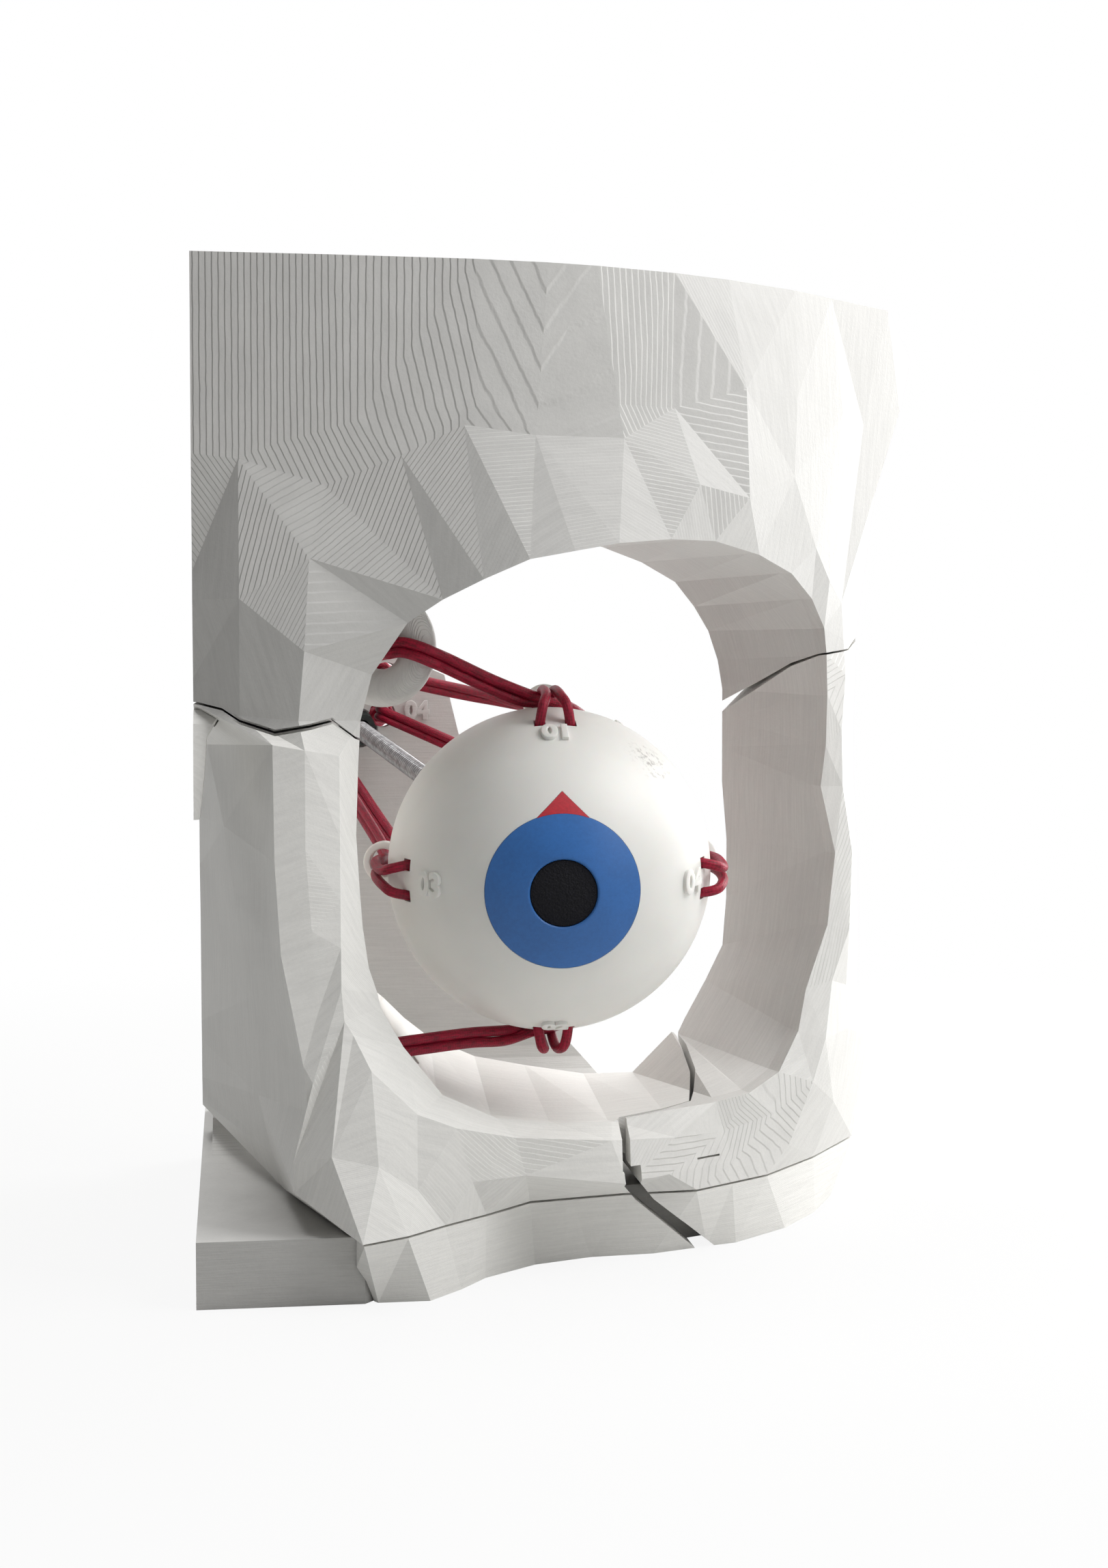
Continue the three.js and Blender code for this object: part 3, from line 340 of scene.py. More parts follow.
class Finish:
    """A node material, or the room's nodes, under construction."""

    def __init__(self, name, family="materials"):
        self.block = getattr(bpy.data, family).new(name)
        self.block.use_nodes = True
        self.tree = self.block.node_tree
        self.tree.nodes.clear()

    def node(self, kind, settings=None, values=None, output=0):
        """A node of a kind, with its settings and the values or links of its sockets; gives one output."""
        made = self.tree.nodes.new(kind)
        for key, value in (settings or {}).items():
            setattr(made, key, value)
        for key, value in (values or {}).items():
            if isinstance(value, Wire):
                self.tree.links.new(value.socket, made.inputs[key])
            else:
                made.inputs[key].default_value = value
        return Wire(self, made.outputs[output]) if len(made.outputs) else None

    def vector(self, operation, first, second=None, output=0):
        """A Vector Math node on one vector, or on it and a fixed one."""
        values = {0: first} if second is None else {0: first, 1: tuple(second)}
        return self.node("ShaderNodeVectorMath", {"operation": operation}, values, output)

    def place(self, scale=(1.0, 1.0, 1.0)):
        """Object coordinates in millimetres, scaled."""
        here = self.node("ShaderNodeTexCoord", output="Object")
        return self.vector("MULTIPLY", here, [factor / MM for factor in scale])

    def facing(self):
        """The surface's direction in object space, as a vector."""
        return self.node("ShaderNodeTexCoord", output="Normal")

    def lean(self, vector, direction):
        """Length of a vector's part along a fixed direction."""
        return self.vector("DOT_PRODUCT", vector, direction, output=1)

    def layered(self, build, stretch=0.10, across=2.4):
        """Object coordinates in millimetres, drawn out along the layers and packed across them."""
        here = self.node("ShaderNodeTexCoord", output="Object")
        factors = (stretch, stretch, across)
        parts = [self.lean(here, direction * factor / MM)
                 for direction, factor in zip(axis_frame(build), factors)]
        return self.node("ShaderNodeCombineXYZ", values=dict(enumerate(parts)))

    def distance(self, vector, point):
        """Distance of a place from a fixed point."""
        return self.vector("DISTANCE", vector, point, output=1)

    def off_axis(self, vector, point, direction):
        """Distance of a place from a line: the length of the cross product with the line's direction."""
        swept = self.vector("CROSS_PRODUCT", self.vector("SUBTRACT", vector, point), direction)
        return self.vector("LENGTH", swept, output=1)

    def part(self, vector, axis):
        """One of a vector's three parts."""
        return self.node("ShaderNodeSeparateXYZ", values={0: vector}, output=axis)

    def noise(self, place, scale, detail=2.0, roughness=0.5):
        """Cloudy noise at a place."""
        values = {"Vector": place, "Scale": scale, "Detail": detail, "Roughness": roughness}
        return self.node("ShaderNodeTexNoise", values=values)

    def mix(self, factor, first, second):
        """Two colours mixed by a factor."""
        values = {0: factor, 6: opaque(first), 7: opaque(second)}
        return self.node("ShaderNodeMix", {"data_type": "RGBA"}, values, output=2)

    def tinted(self, mask, colour, low, high):
        """A colour that goes from one factor of itself to another as the mask goes from 0 to 1."""
        return self.mix(mask, toned(colour, low), toned(colour, high))

    def bump(self, height, distance, strength=1.0):
        """Bump from a height of 0 to 1 and its depth in millimetres."""
        values = {"Height": height, "Distance": distance * MM, "Strength": strength}
        return self.node("ShaderNodeBump", values=values)

    def ended(self, shader, kind="ShaderNodeOutputMaterial"):
        """The finished material or room, with the shader on its surface."""
        self.node(kind, values={"Surface": shader})
        return self.block

    def done(self, **sockets):
        """The material with a Principled shader of the given sockets; names use _ for spaces."""
        values = {key.replace("_", " "): value for key, value in sockets.items()}
        for key in ("Base Color", "Sheen Tint"):
            if key in values:
                values[key] = opaque(values[key])
        return self.ended(self.node("ShaderNodeBsdfPrincipled", values=values))


def printed(name, colour, build, layer, grain, shown=(0.93, 0.992)):
    """Layered print whose layers are stacked along the direction build, which points out of the shown side.

    The place along build, divided by the layer's height, gives a sawtooth. Taken off the surface it lays
    each terrace nearly flat, square to build, with a narrow riser between two terraces. Where a face stands
    steep to the layers, below the two cosines shown, the sawtooth gives way to a fine wave of one layer, and
    streaks of noise run along the layers.
    """
    finish = Finish(name)
    place = finish.place()
    wobble = finish.noise(place, 0.25, 3.0, 0.6)
    along = finish.lean(place, build) + wobble * 0.07
    facing = finish.lean(finish.facing(), build)
    saw = (along / layer).fraction()
    riser = saw.clamped(0.0, 0.24)
    terrace = (riser - saw) * facing.clamped(*shown) * (0.7 * layer)
    wave = (along * (2 * math.pi / layer)).sine() * facing.clamped(0.93, 0.70)
    streaks = finish.noise(finish.layered(build), 1.0, 4.0, 0.65)
    pits = finish.noise(place, 1.6, 3.0, 0.7)
    relief = terrace + wave * 0.006 + streaks * grain + pits * 0.035
    broad = finish.noise(place, 0.028, 2.0)
    shade = streaks * 0.5 + broad * 0.35 + pits * 0.15
    tint = finish.tinted(shade.clamped(0.28, 0.72), colour, 0.92, 1.07)
    return finish.done(Base_Color=tint, Roughness=streaks * 0.16 + 0.47, Normal=finish.bump(relief, 1.0),
                       Specular_IOR_Level=0.22)


# Settings that a user would change


def length(label, default, text):
    """A size in metres, written in millimetres."""
    return bpy.props.FloatProperty(
        name=label, description=text, default=default * MM, unit="LENGTH", precision=5)


def colour(label, default, text):
    """A linear colour."""
    return bpy.props.FloatVectorProperty(
        name=label, description=text, default=default, subtype="COLOR", size=3, min=0, max=1)


def watts(label, default, text):
    """The power of a lamp."""
    return bpy.props.FloatProperty(name=label, description=text, default=default, unit="POWER")


class PrintSettings(bpy.types.PropertyGroup):
    bone: colour("Bone", (0.66, 0.652, 0.632), "Light grey of the printed forehead")
    # The jaw's tone is painted light: the grey of the bone's print, made lighter to stand in for the stronger
    # light that falls on the jaw and the feet.
    jaw: colour("Jaw", (0.84, 0.83, 0.80), "Off-white of the printed jaw and the feet")
    cheek: colour("Cheek", (0.76, 0.75, 0.725), "Paler grey of the printed cheek")
    base: colour("Base", (0.61, 0.602, 0.584), "Grey of the slab")
    layer: length("Layer", 0.2, "Height of one printed layer")


class EyeSettings(bpy.types.PropertyGroup):
    iris: length("Iris radius", 13.5, "Radius of the blue ring")
    pupil: length("Pupil radius", 5.95, "Radius of the black disc")
    white: colour("White", (0.83, 0.82, 0.785), "Off-white of the eyeball")
    blue: colour("Blue", (0.026, 0.135, 0.41), "Blue of the ring")
    black: colour("Black", (0.004, 0.004, 0.006), "Black of the disc")
    red: colour("Red", (0.47, 0.014, 0.028), "Red of the pointer")


class CordSettings(bpy.types.PropertyGroup):
    radius: length("Radius", 0.93, "Radius of a cord where it lies slack, on the eyeball")
    stretched: length("Stretched radius", 0.86, "Radius of a straight muscle's cord before the eyeball")
    oblique: length("Oblique radius", 0.98, "Radius of an oblique muscle's cord before the eyeball")
    red: colour("Red", (0.31, 0.004, 0.027), "Crimson of the woven sheath")


class MetalSettings(bpy.types.PropertyGroup):
    rod: length("Rod radius", 2.0, "Outer radius of the thread")
    pitch: length("Thread pitch", 0.7, "Distance from one thread to the next")
    zinc: colour("Zinc", (0.36, 0.36, 0.365), "Grey of the plated rod and ball")
    dark: colour("Dark steel", (0.035, 0.038, 0.037), "Colour of the blackened nuts")


class StageSettings(bpy.types.PropertyGroup):
    key: watts("Key lamp", 1.24, "Small lamp close to the right, above the eye")
    rim: watts("Rim lamp", 1.6, "Small lamp close to the right, behind the face")
    fill: watts("Fill lamp", 0.85, "Large lamp in front on the right")
    top: watts("Top lamp", 1.6, "Large lamp overhead")
    back: watts("Back lamp", 2.2, "Large lamp behind on the right")
    side: watts("Side lamp", 2.8, "Lamp high over the left side")
    ambient: bpy.props.FloatProperty(name="Ambient", description="Strength of the room's light", default=0.05)
    floor: colour("Floor", (0.62, 0.62, 0.61), "How the pale floor throws light back")


def settings(key):
    """One group of settings of the scene."""
    return getattr(bpy.context.scene, "eye_model_" + key)


def millimetres(value):
    """A size property in the drawing's unit."""
    return value / MM


# Eyeball


GLOBE_RADIUS = 30.0
INLAY_BACK = GLOBE_RADIUS - 1.3
OPENING = 48.0
OPENING_EDGE = 0.5
BALL_RADIUS = 8.0
CUP_WALL = 1.7
EYELET_OFFSET = 1.8
EYELET_HOLE = 2.6
EYELET_OUTER = 4.0
EYELET_REACH = 4.5
EYELET_HALF_LENGTH = 1.0
EYELET_FILLET = 0.35
SLOT_WIDTH = 2.1
SLOT_LENGTH = 2.4
SLOT_SPREAD = 2.8
SLOT_FLOOR = 24.5
TUNNEL_HEIGHT = 3.2
POINTER_HALF = 4.9
POINTER_FOOT = 12.6
POINTER_TIP = 17.3
POINTER_OVER_IRIS = 0.16
POINTER_CORNER = 0.28
POINTER_SEAT_MARGIN = 0.05
POINTER_PROUD = 0.05
IRIS_PROUD = 0.08
PUPIL_SUNK = 0.28
# Degrees round the line of sight from the iris's edge to the wall of its seat, and to the ring's own edge
IRIS_SEAT_EDGE = 0.55
IRIS_RING_EDGE = 0.52
FORWARD = np.array([0.0, -1.0, 0.0])
ROD_AXIS = unit((ROD_FOOT - EYE) @ GAZE)


def from_gaze(side, degrees):
    """Direction that leans away from the line of sight towards a side."""
    angle = math.radians(degrees)
    return math.cos(angle) * FORWARD + math.sin(angle) * np.asarray(side, float)


def sight_degrees(radius):
    """Angle at the eye's centre between the line of sight and a circle on the globe, from its radius."""
    return math.degrees(math.asin(millimetres(radius) / GLOBE_RADIUS))


ABOVE = (0, 0, 1)
BELOW = (0, 0, -1)
INWARDS = (-1, 0, 0)
OUTWARDS = (1, 0, 0)
# Directions of each cord's eyelet and of its slots
INSERTIONS = {
    "superior_rectus": (from_gaze(ABOVE, 112), from_gaze(ABOVE, 70)),
    "inferior_rectus": (from_gaze(BELOW, 112), from_gaze(BELOW, 70)),
    "medial_rectus": (from_gaze(INWARDS, 107), from_gaze(INWARDS, 64)),
    "lateral_rectus": (from_gaze(OUTWARDS, 112), from_gaze(OUTWARDS, 64)),
    "superior_oblique": (unit((0.42, 0.58, 0.7)), unit((0.76, 0.5, 0.41))),
    "inferior_oblique": (unit((0.42, 0.54, -0.73)), unit((0.76, 0.5, -0.41))),
}
# Direction and height of each raised figure on the globe
FIGURES = {
    "01": (from_gaze(ABOVE, 62.0), 5.4),
    "02": (from_gaze(BELOW, 62.4), 4.6),
    "03": (from_gaze(INWARDS, 49.5), 5.6),
    "04": (from_gaze(OUTWARDS, 53.5), 5.6),
}
FIGURE_RELIEF = 0.55
FIGURE_EDGE = 0.16


def insertion_frame(name, at_slots):
    """Out from the centre, along from eyelet to slots, and side across, where a cord meets the globe."""
    eyelet, slots = INSERTIONS[name]
    out = slots if at_slots else eyelet
    side = unit(np.cross(slots, eyelet))
    return out, unit(np.cross(out, side)), side


def slot_outline():
    """U shape of two slots joined under a bar, from 1 mm over the surface down to the slots' floor."""
    top = GLOBE_RADIUS + 1.0
    outer = SLOT_SPREAD + SLOT_WIDTH / 2
    inner = SLOT_SPREAD - SLOT_WIDTH / 2
    bar = SLOT_FLOOR + TUNNEL_HEIGHT
    return [(-outer, top), (-outer, SLOT_FLOOR), (outer, SLOT_FLOOR), (outer, top), (inner, top),
            (inner, bar), (-inner, bar), (-inner, top)]


def slot_tool():
    """The six U-shaped cutters of the slots."""
    grids = []
    for name in INSERTIONS:
        out, along, side = insertion_frame(name, True)
        grids.append(on_eye(extruded(slot_outline(), side, out, along, SLOT_LENGTH / 2)))
    return finished("slot_tool", grid_mesh(grids, capped=True))


def at_eyelets(profile, around):
    """Six grids: the profile turned about the middle line of each eyelet."""
    grids = []
    for name in INSERTIONS:
        out, along, _ = insertion_frame(name, False)
        grids.append(on_eye(turned(profile, along, out * (GLOBE_RADIUS + EYELET_OFFSET), around)))
    return grids


def rounded_ring(inner, outer, half, fillet, steps=5):
    """Closed profile of a ring with rounded corners, as (radius, height)."""
    corners = [(outer - fillet, half - fillet, 0), (inner + fillet, half - fillet, 90),
               (inner + fillet, fillet - half, 180), (outer - fillet, fillet - half, 270)]
    quarter = np.radians(np.linspace(0, 90, steps))
    parts = []
    for r, h, start in corners:
        turn = quarter + math.radians(start)
        parts.append(np.stack([r + fillet * np.cos(turn), h + fillet * np.sin(turn)], -1))
    return np.concatenate(parts)


def pointer_grid(radius, margin, steps=25, rows=9):
    """Curved triangle over the iris on a sphere: columns from the iris's edge up to two slanting sides."""
    slope = (POINTER_TIP - POINTER_FOOT) / POINTER_HALF
    low_radius = millimetres(settings("eye").iris) + POINTER_OVER_IRIS - margin
    corner = POINTER_HALF - POINTER_CORNER + margin
    x = np.linspace(-1, 1, steps)[:, None] * corner
    low = np.sqrt(low_radius ** 2 - x ** 2)
    high = np.maximum(POINTER_TIP + 2 * margin - slope * np.abs(x), low)
    z = low + (high - low) * np.linspace(0, 1, rows)[None, :]
    x = np.broadcast_to(x, z.shape)
    y = -np.sqrt(GLOBE_RADIUS ** 2 - x ** 2 - z ** 2)
    return on_eye(np.stack([x, y, z], -1) * (radius / GLOBE_RADIUS))


def globe_piece():
    """Hollow globe turned about the rod's resting line, with eyelets, slots and the seats of its inlays."""
    cavity = BALL_RADIUS + 2 * CUP_WALL + 3 * CLEARANCE
    shell = joined(arc(GLOBE_RADIUS, 180, OPENING + 1, 110), spot(GLOBE_RADIUS - OPENING_EDGE, OPENING),
                   arc(cavity, OPENING, 180, 24))
    seat = INLAY_BACK - CLEARANCE
    wall = sight_degrees(settings("eye").iris) + IRIS_SEAT_EDGE
    recess = joined(arc(seat, 0, wall, 24), arc(GLOBE_RADIUS + 2, wall, 0, 24))
    pointer = slab_between(pointer_grid(GLOBE_RADIUS + 1.5, POINTER_SEAT_MARGIN),
                           pointer_grid(seat, POINTER_SEAT_MARGIN))
    rings = rounded_ring(EYELET_HOLE, EYELET_OUTER, EYELET_HALF_LENGTH, EYELET_FILLET)
    bores = [(EYELET_HOLE, -EYELET_REACH), (EYELET_HOLE, EYELET_REACH)]
    steps = [
        ("UNION", finished("eyelet_tool", grid_mesh(at_eyelets(rings, 48), wrap_rows=True))),
        ("DIFFERENCE", turned_piece("iris_tool", recess, FORWARD)),
        ("DIFFERENCE", finished("pointer_tool", pointer)),
        ("DIFFERENCE", slot_tool()),
        ("DIFFERENCE", finished("hole_tool", grid_mesh(at_eyelets(bores, 40), capped=True))),
    ]
    piece = carved("eye_globe", turned_piece("globe_body", shell, ROD_AXIS), steps)
    rounded_normals(piece.data)
    return piece


def rounded_normals(mesh):
    """Corners that lie on the globe's sphere take the sphere's own direction, so cuts leave no shadows."""
    radius, reach = GLOBE_RADIUS * MM, 0.02 * MM
    offset = values_of(mesh.vertices, "co", 3) - frame_points(EYE)
    distance = np.linalg.norm(offset, axis=1)
    corner = values_of(mesh.loops, "vertex_index", kind=int)
    sizes = values_of(mesh.polygons, "loop_total", kind=int)
    facing = np.repeat(values_of(mesh.polygons, "normal", 3), sizes, axis=0)
    outward = (offset / distance[:, None])[corner]
    on_sphere = np.abs(distance[corner] - radius) < reach
    same_way = np.einsum("ij,ij->i", facing, outward) > 0.9
    normals = values_of(mesh.corner_normals, "vector", 3)
    normals = np.where((on_sphere & same_way)[:, None], outward, normals)
    mesh.normals_split_custom_set(normals.tolist())


def numeral(name, text, size, relief, spread):
    """Plain raised figures in millimetres, centred, and laid out by spread, a function of the points."""
    curve = bpy.data.curves.new(name, "FONT")
    curve.body = text
    curve.size = size
    curve.align_x = "CENTER"
    curve.align_y = "CENTER"
    curve.extrude = relief
    curve.bevel_depth = FIGURE_EDGE
    curve.bevel_resolution = 2
    curve.offset = FIGURE_EDGE
    curve.resolution_u = 5
    holder = bpy.data.objects.new(name, curve)
    bpy.context.scene.collection.objects.link(holder)
    bpy.context.view_layer.update()
    mesh = bpy.data.meshes.new_from_object(holder.evaluated_get(bpy.context.evaluated_depsgraph_get()))
    bpy.data.objects.remove(holder)
    points = frame_points(spread(values_of(mesh.vertices, "co", 3)))
    mesh.vertices.foreach_set("co", points.ravel())
    return finished(name, mesh, sharp=math.radians(50), merge=1e-6)


def on_globe(middle):
    """Lays flat figures on the globe round a direction: x across, y up, z outwards from the surface."""
    across, upward, out = axis_frame(middle)

    def spread(points):
        direction = unit(out * GLOBE_RADIUS + points[:, :1] * across + points[:, 1:2] * upward)
        return on_eye(direction * (GLOBE_RADIUS + points[:, 2:]))

    return spread


class EYEMODEL_OT_globe(bpy.types.Operator):
    """Builds the hollow eyeball with its eyelets, slots and raised figures."""

    bl_idname = "eye_model.globe"
    bl_label = "Eyeball"

    def execute(self, context):
        finish = globe_finish()
        dress(globe_piece(), "eyeball", finish, ["eyeball_globe"])
        for text, (middle, size) in FIGURES.items():
            figure = numeral("eye_figure_" + text, text, size, FIGURE_RELIEF, on_globe(middle))
            dress(figure, "eyeball", finish)
        return {"FINISHED"}


SCUFF = (10.0, -42.7, 92.3)
SCUFF_TONE = (0.30, 0.28, 0.26)


def globe_finish():
    """Satin off-white print: faint layer rings, soft smudges and a few scuffs."""
    finish = Finish("eye_print")
    place = finish.place()
    rings = (finish.part(place, 2) * (2 * math.pi / 0.25)).sine()
    streaks = finish.noise(finish.place((0.1, 0.1, 1.6)), 1.0, 3.0, 0.6)
    broad = finish.noise(place, 0.05, 3.0)
    specks = finish.noise(place, 0.8, 4.0, 0.75).clamped(0.50, 0.66)
    smudge = finish.distance(place, SCUFF).clamped(7.0, 1.5)
    tint = finish.tinted(broad.clamped(0.3, 0.7), settings("eye").white, 0.96, 1.03)
    worn = finish.mix(specks * smudge * 0.75, tint, SCUFF_TONE)
    relief = rings * 0.012 + streaks * 0.10
    return finish.done(Base_Color=worn, Roughness=streaks * 0.14 + 0.42,
                       Normal=finish.bump(relief, 0.12, 0.6), Specular_IOR_Level=0.4,
                       Subsurface_Weight=0.08, Subsurface_Scale=0.002)


class EYEMODEL_OT_iris(bpy.types.Operator):
    """Builds the blue ring, the rough black disc and the red pointer let into the globe."""

    bl_idname = "eye_model.iris"
    bl_label = "Iris, pupil and pointer"

    def execute(self, context):
        ring = turned_piece("iris", iris_profile(), FORWARD, closed=True)
        dress(ring, "eyeball", iris_finish(), ["iris_ring"])
        pupil = turned_piece("pupil", pupil_profile(), FORWARD, 96)
        dress(pupil, "eyeball", pupil_finish(), ["pupil_disc"])
        patch = slab_between(pointer_grid(GLOBE_RADIUS + POINTER_PROUD, 0.0), pointer_grid(INLAY_BACK, 0.0))
        dress(finished("pointer", patch), "eyeball", pointer_finish(), ["marker_triangle"])
        return {"FINISHED"}


def iris_profile():
    """Ring a little proud of the globe, its inner edge rounded and its outer one chamfered."""
    s = settings("eye")
    face = GLOBE_RADIUS + IRIS_PROUD
    near, far = sight_degrees(s.pupil) + 0.1, sight_degrees(s.iris) + IRIS_RING_EDGE
    return joined(arc(face, near + 0.55, far - 0.35, 30), spot(face - 0.16, far),
                  arc(INLAY_BACK, far, near, 20), spot(face - 0.3, near), spot(face - 0.06, near + 0.3))


def pupil_profile():
    """Disc a little below the globe's surface, with a chamfered edge."""
    face = GLOBE_RADIUS - PUPIL_SUNK
    edge = sight_degrees(settings("eye").pupil)
    return joined(arc(face, 0, edge - 0.3, 30), spot(face - 0.15, edge), arc(INLAY_BACK, edge, 0, 12))


def iris_finish():
    """Smooth blue print with a faint grain."""
    finish = Finish("iris_blue")
    place = finish.place()
    grain = finish.noise(place, 1.4, 4.0, 0.7)
    lines = finish.noise(finish.place((0.15, 0.15, 3.0)), 1.0, 2.0)
    broad = finish.noise(place, 0.12, 2.0)
    tint = finish.tinted((grain * 0.5 + broad * 0.5).clamped(0.3, 0.7), settings("eye").blue, 0.9, 1.12)
    relief = grain * 0.4 + lines * 0.6
    return finish.done(Base_Color=tint, Roughness=grain * 0.14 + 0.34, Normal=finish.bump(relief, 0.03, 0.5),
                       Specular_IOR_Level=0.45)


def pupil_finish():
    """Rough black disc, as cast grains."""
    finish = Finish("pupil_black")
    place = finish.place()
    grains = finish.node("ShaderNodeTexVoronoi", {"feature": "F1"}, {"Vector": place, "Scale": 2.6})
    clumps = finish.noise(place, 1.7, 4.0, 0.75)
    tint = finish.tinted(clumps.clamped(0.45, 0.75), settings("eye").black, 1.0, 2.6)
    return finish.done(Base_Color=tint, Roughness=clumps * 0.3 + 0.50,
                       Normal=finish.bump(clumps - grains * 0.6, 0.5), Specular_IOR_Level=0.16)


def pointer_finish():
    """Red inlay with a faint grain."""
    finish = Finish("marker_red")
    grain = finish.noise(finish.place(), 1.8, 4.0, 0.7)
    tint = finish.tinted(grain.clamped(0.3, 0.75), settings("eye").red, 0.85, 1.15)
    return finish.done(Base_Color=tint, Roughness=grain * 0.2 + 0.42, Normal=finish.bump(grain, 0.05, 0.6))


# Ball joint, rod and nuts


ROD_RUN = EYE - ROD_FOOT
ROD_TAIL = 16.88
ROD_IN_BALL = 6.0
NUT_THICK = 3.2
# Depth of the front nut's seat, and the rear nut's distance from the plate along the rod
NUT_SEAT = 1.5
REAR_NUT_PAST = 2.0
CUP_MOUTH = 50.0
# Node, body and piece of each turning cup, the inner one first
CUPS = (("inner_pivot_cup", "yaw_cup", "first_cup"), ("outer_pivot_cup", "pitch_cup", "second_cup"))


class EYEMODEL_OT_rod(bpy.types.Operator):
    """Builds the threaded rod, its two nuts, the ball and the two turning cups."""

    bl_idname = "eye_model.rod"
    bl_label = "Rod and ball joint"

    def execute(self, context):
        s = settings("metal")
        along = unit(ROD_RUN)
        tip = float(np.linalg.norm(ROD_RUN)) - BALL_RADIUS + ROD_IN_BALL
        zinc = metal_finish("rod_steel", s.zinc, 0.30, 0.9, along)
        dark = metal_finish("nut_steel", s.dark, 0.42, 0.75)
        rod = finished("rod", threaded(along, -ROD_TAIL, tip), sharp=math.radians(60))
        dress(rod, "skull", zinc, ["threaded_rod"])
        through = (PLATE_BACK_Y - PLATE_FRONT_Y) / float(along @ FORWARD)
        starts = {"front_nut": CLEARANCE - NUT_SEAT, "rear_nut": -through - REAR_NUT_PAST - NUT_THICK}
        for name, start in starts.items():
            nut = grid_mesh([hex_nut(along, start)], wrap_rows=True)
            dress(finished("plate_" + name, nut, sharp=math.radians(20)), "skull", dark, [name])
        ball = turned_piece("ball", ball_profile(), ROD_AXIS, 72, closed=True)
        dress(ball, "skull", zinc, ["pivot_ball"])
        finish = globe_finish()
        inner = BALL_RADIUS + CLEARANCE
        for node, body, name in CUPS:
            cup = turned_piece(name, cup_profile(inner), ROD_AXIS, 72)
            dress(cup, body, finish, [node])
            inner += CUP_WALL + CLEARANCE
        return {"FINISHED"}


def threaded(along, start, end, around=24, steps_per_turn=8):
    """Rod whose radius follows a triangle wave of (distance / pitch - angle), with flat closed ends."""
    s = settings("metal")
    pitch, outer = millimetres(s.pitch), millimetres(s.rod)
    groove, chamfer = 0.40, 0.5
    a, b, c = axis_frame(along)
    rows = int((end - start) / pitch * steps_per_turn)
    distance = np.linspace(start, end, rows)[:, None]
    turn = np.arange(around)[None, :] / around
    wave = np.abs(((distance / pitch - turn) % 1.0) * 2 - 1)
    ends = np.minimum((distance - start) / chamfer, (end - distance) / chamfer).clip(0, 1)
    radius = outer - groove * (1 - np.clip(wave * 1.35 - 0.1, 0, 1)) - 0.3 * (1 - ends)
    ring = circle(turn * 2 * math.pi, a, b)
    return grid_mesh([ROD_FOOT + distance[..., None] * c + radius[..., None] * ring], capped=True)


def hex_nut(along, start, corner=4.0, bore=2.3, around=96):
    """Ring whose outside is a hexagon held back by a cone at both ends, and whose bore is round."""
    a, b, c = axis_frame(along)
    angle = full_turn(around)
    flat = corner * math.cos(math.pi / 6)
    hexagon = flat / np.cos((angle % (math.pi / 3)) - math.pi / 6)
    height = np.array([0.0, 0.18, 0.45, NUT_THICK - 0.45, NUT_THICK - 0.18, NUT_THICK, NUT_THICK, 0.0])
    cone = np.array([0.0, 0.28, 0.7, 0.7, 0.28, 0.0])[:, None] + flat * 1.03
    radius = np.concatenate([np.minimum(hexagon[None], cone), np.full((2, around), bore)])
    ring = circle(angle, a, b)
    return ROD_FOOT + (start + height)[:, None, None] * c + radius[..., None] * ring[None]


def ball_profile():
    """Ball with the bore for the rod's end, as (radius, height) along the rod."""
    bore = millimetres(settings("metal").rod) + CLEARANCE
    mouth = math.degrees(math.asin(bore / BALL_RADIUS))
    bottom = BALL_RADIUS - ROD_IN_BALL - CLEARANCE
    return joined(arc(BALL_RADIUS, 179.9, mouth, 48), [(bore, bottom), (0.01, bottom)])


def cup_profile(inner):
    """Round shell with a chamfered mouth, as (radius, height) along the rod."""
    outer = inner + CUP_WALL
    lip = CUP_MOUTH - 2
    return joined(arc(outer, 180, CUP_MOUTH, 40), spot(outer - 0.3, lip), spot(inner + 0.3, lip),
                  arc(inner, CUP_MOUTH, 180, 40))


def metal_finish(name, tone, roughness, metallic, groove_shade_axis=None):
    """Plated steel with fine scratches and cloudy patches, with painted shade in the grooves of a thread
    round an axis.
    """
    finish = Finish(name)
    place = finish.place()
    cloud = finish.noise(place, 0.8, 4.0, 0.65)
    scratch = finish.noise(finish.place((3.0, 0.5, 3.0)), 1.5, 3.0, 0.7)
    tint = finish.tinted(cloud.clamped(0.3, 0.7), tone, 0.72, 1.25)
    if groove_shade_axis is not None:
        # Painted shade: where the surface lies down in the thread's grooves, nearer the axis than the crests,
        # the colour is darkened.
        offset = finish.off_axis(place, ROD_FOOT - FOOTPRINT_CENTRE, groove_shade_axis)
        tint = finish.mix(offset.clamped(1.93, 1.66) * 0.8, tint, toned(tone, 0.12))
    relief = scratch * 0.6 + cloud * 0.4
    return finish.done(Base_Color=tint, Metallic=metallic, Roughness=cloud * 0.22 + (roughness - 0.08),
                       Normal=finish.bump(relief, 0.03, 0.6))


# Pulley ring


TROCHLEA_CENTRE = np.array([34.2, 35.0, 113.0])
TROCHLEA_TURN = math.radians(-32)
TROCHLEA_ACROSS = np.array([math.cos(TROCHLEA_TURN), math.sin(TROCHLEA_TURN), 0.0])
TROCHLEA_FACING = np.array([math.sin(TROCHLEA_TURN), -math.cos(TROCHLEA_TURN), 0.0])
# Radius of the middle line of the ring's wall, and half the wall's width and depth
TROCHLEA_RADIUS = 7.5
TROCHLEA_HALF_WIDTH = 3.5
TROCHLEA_HALF_DEPTH = 2.75


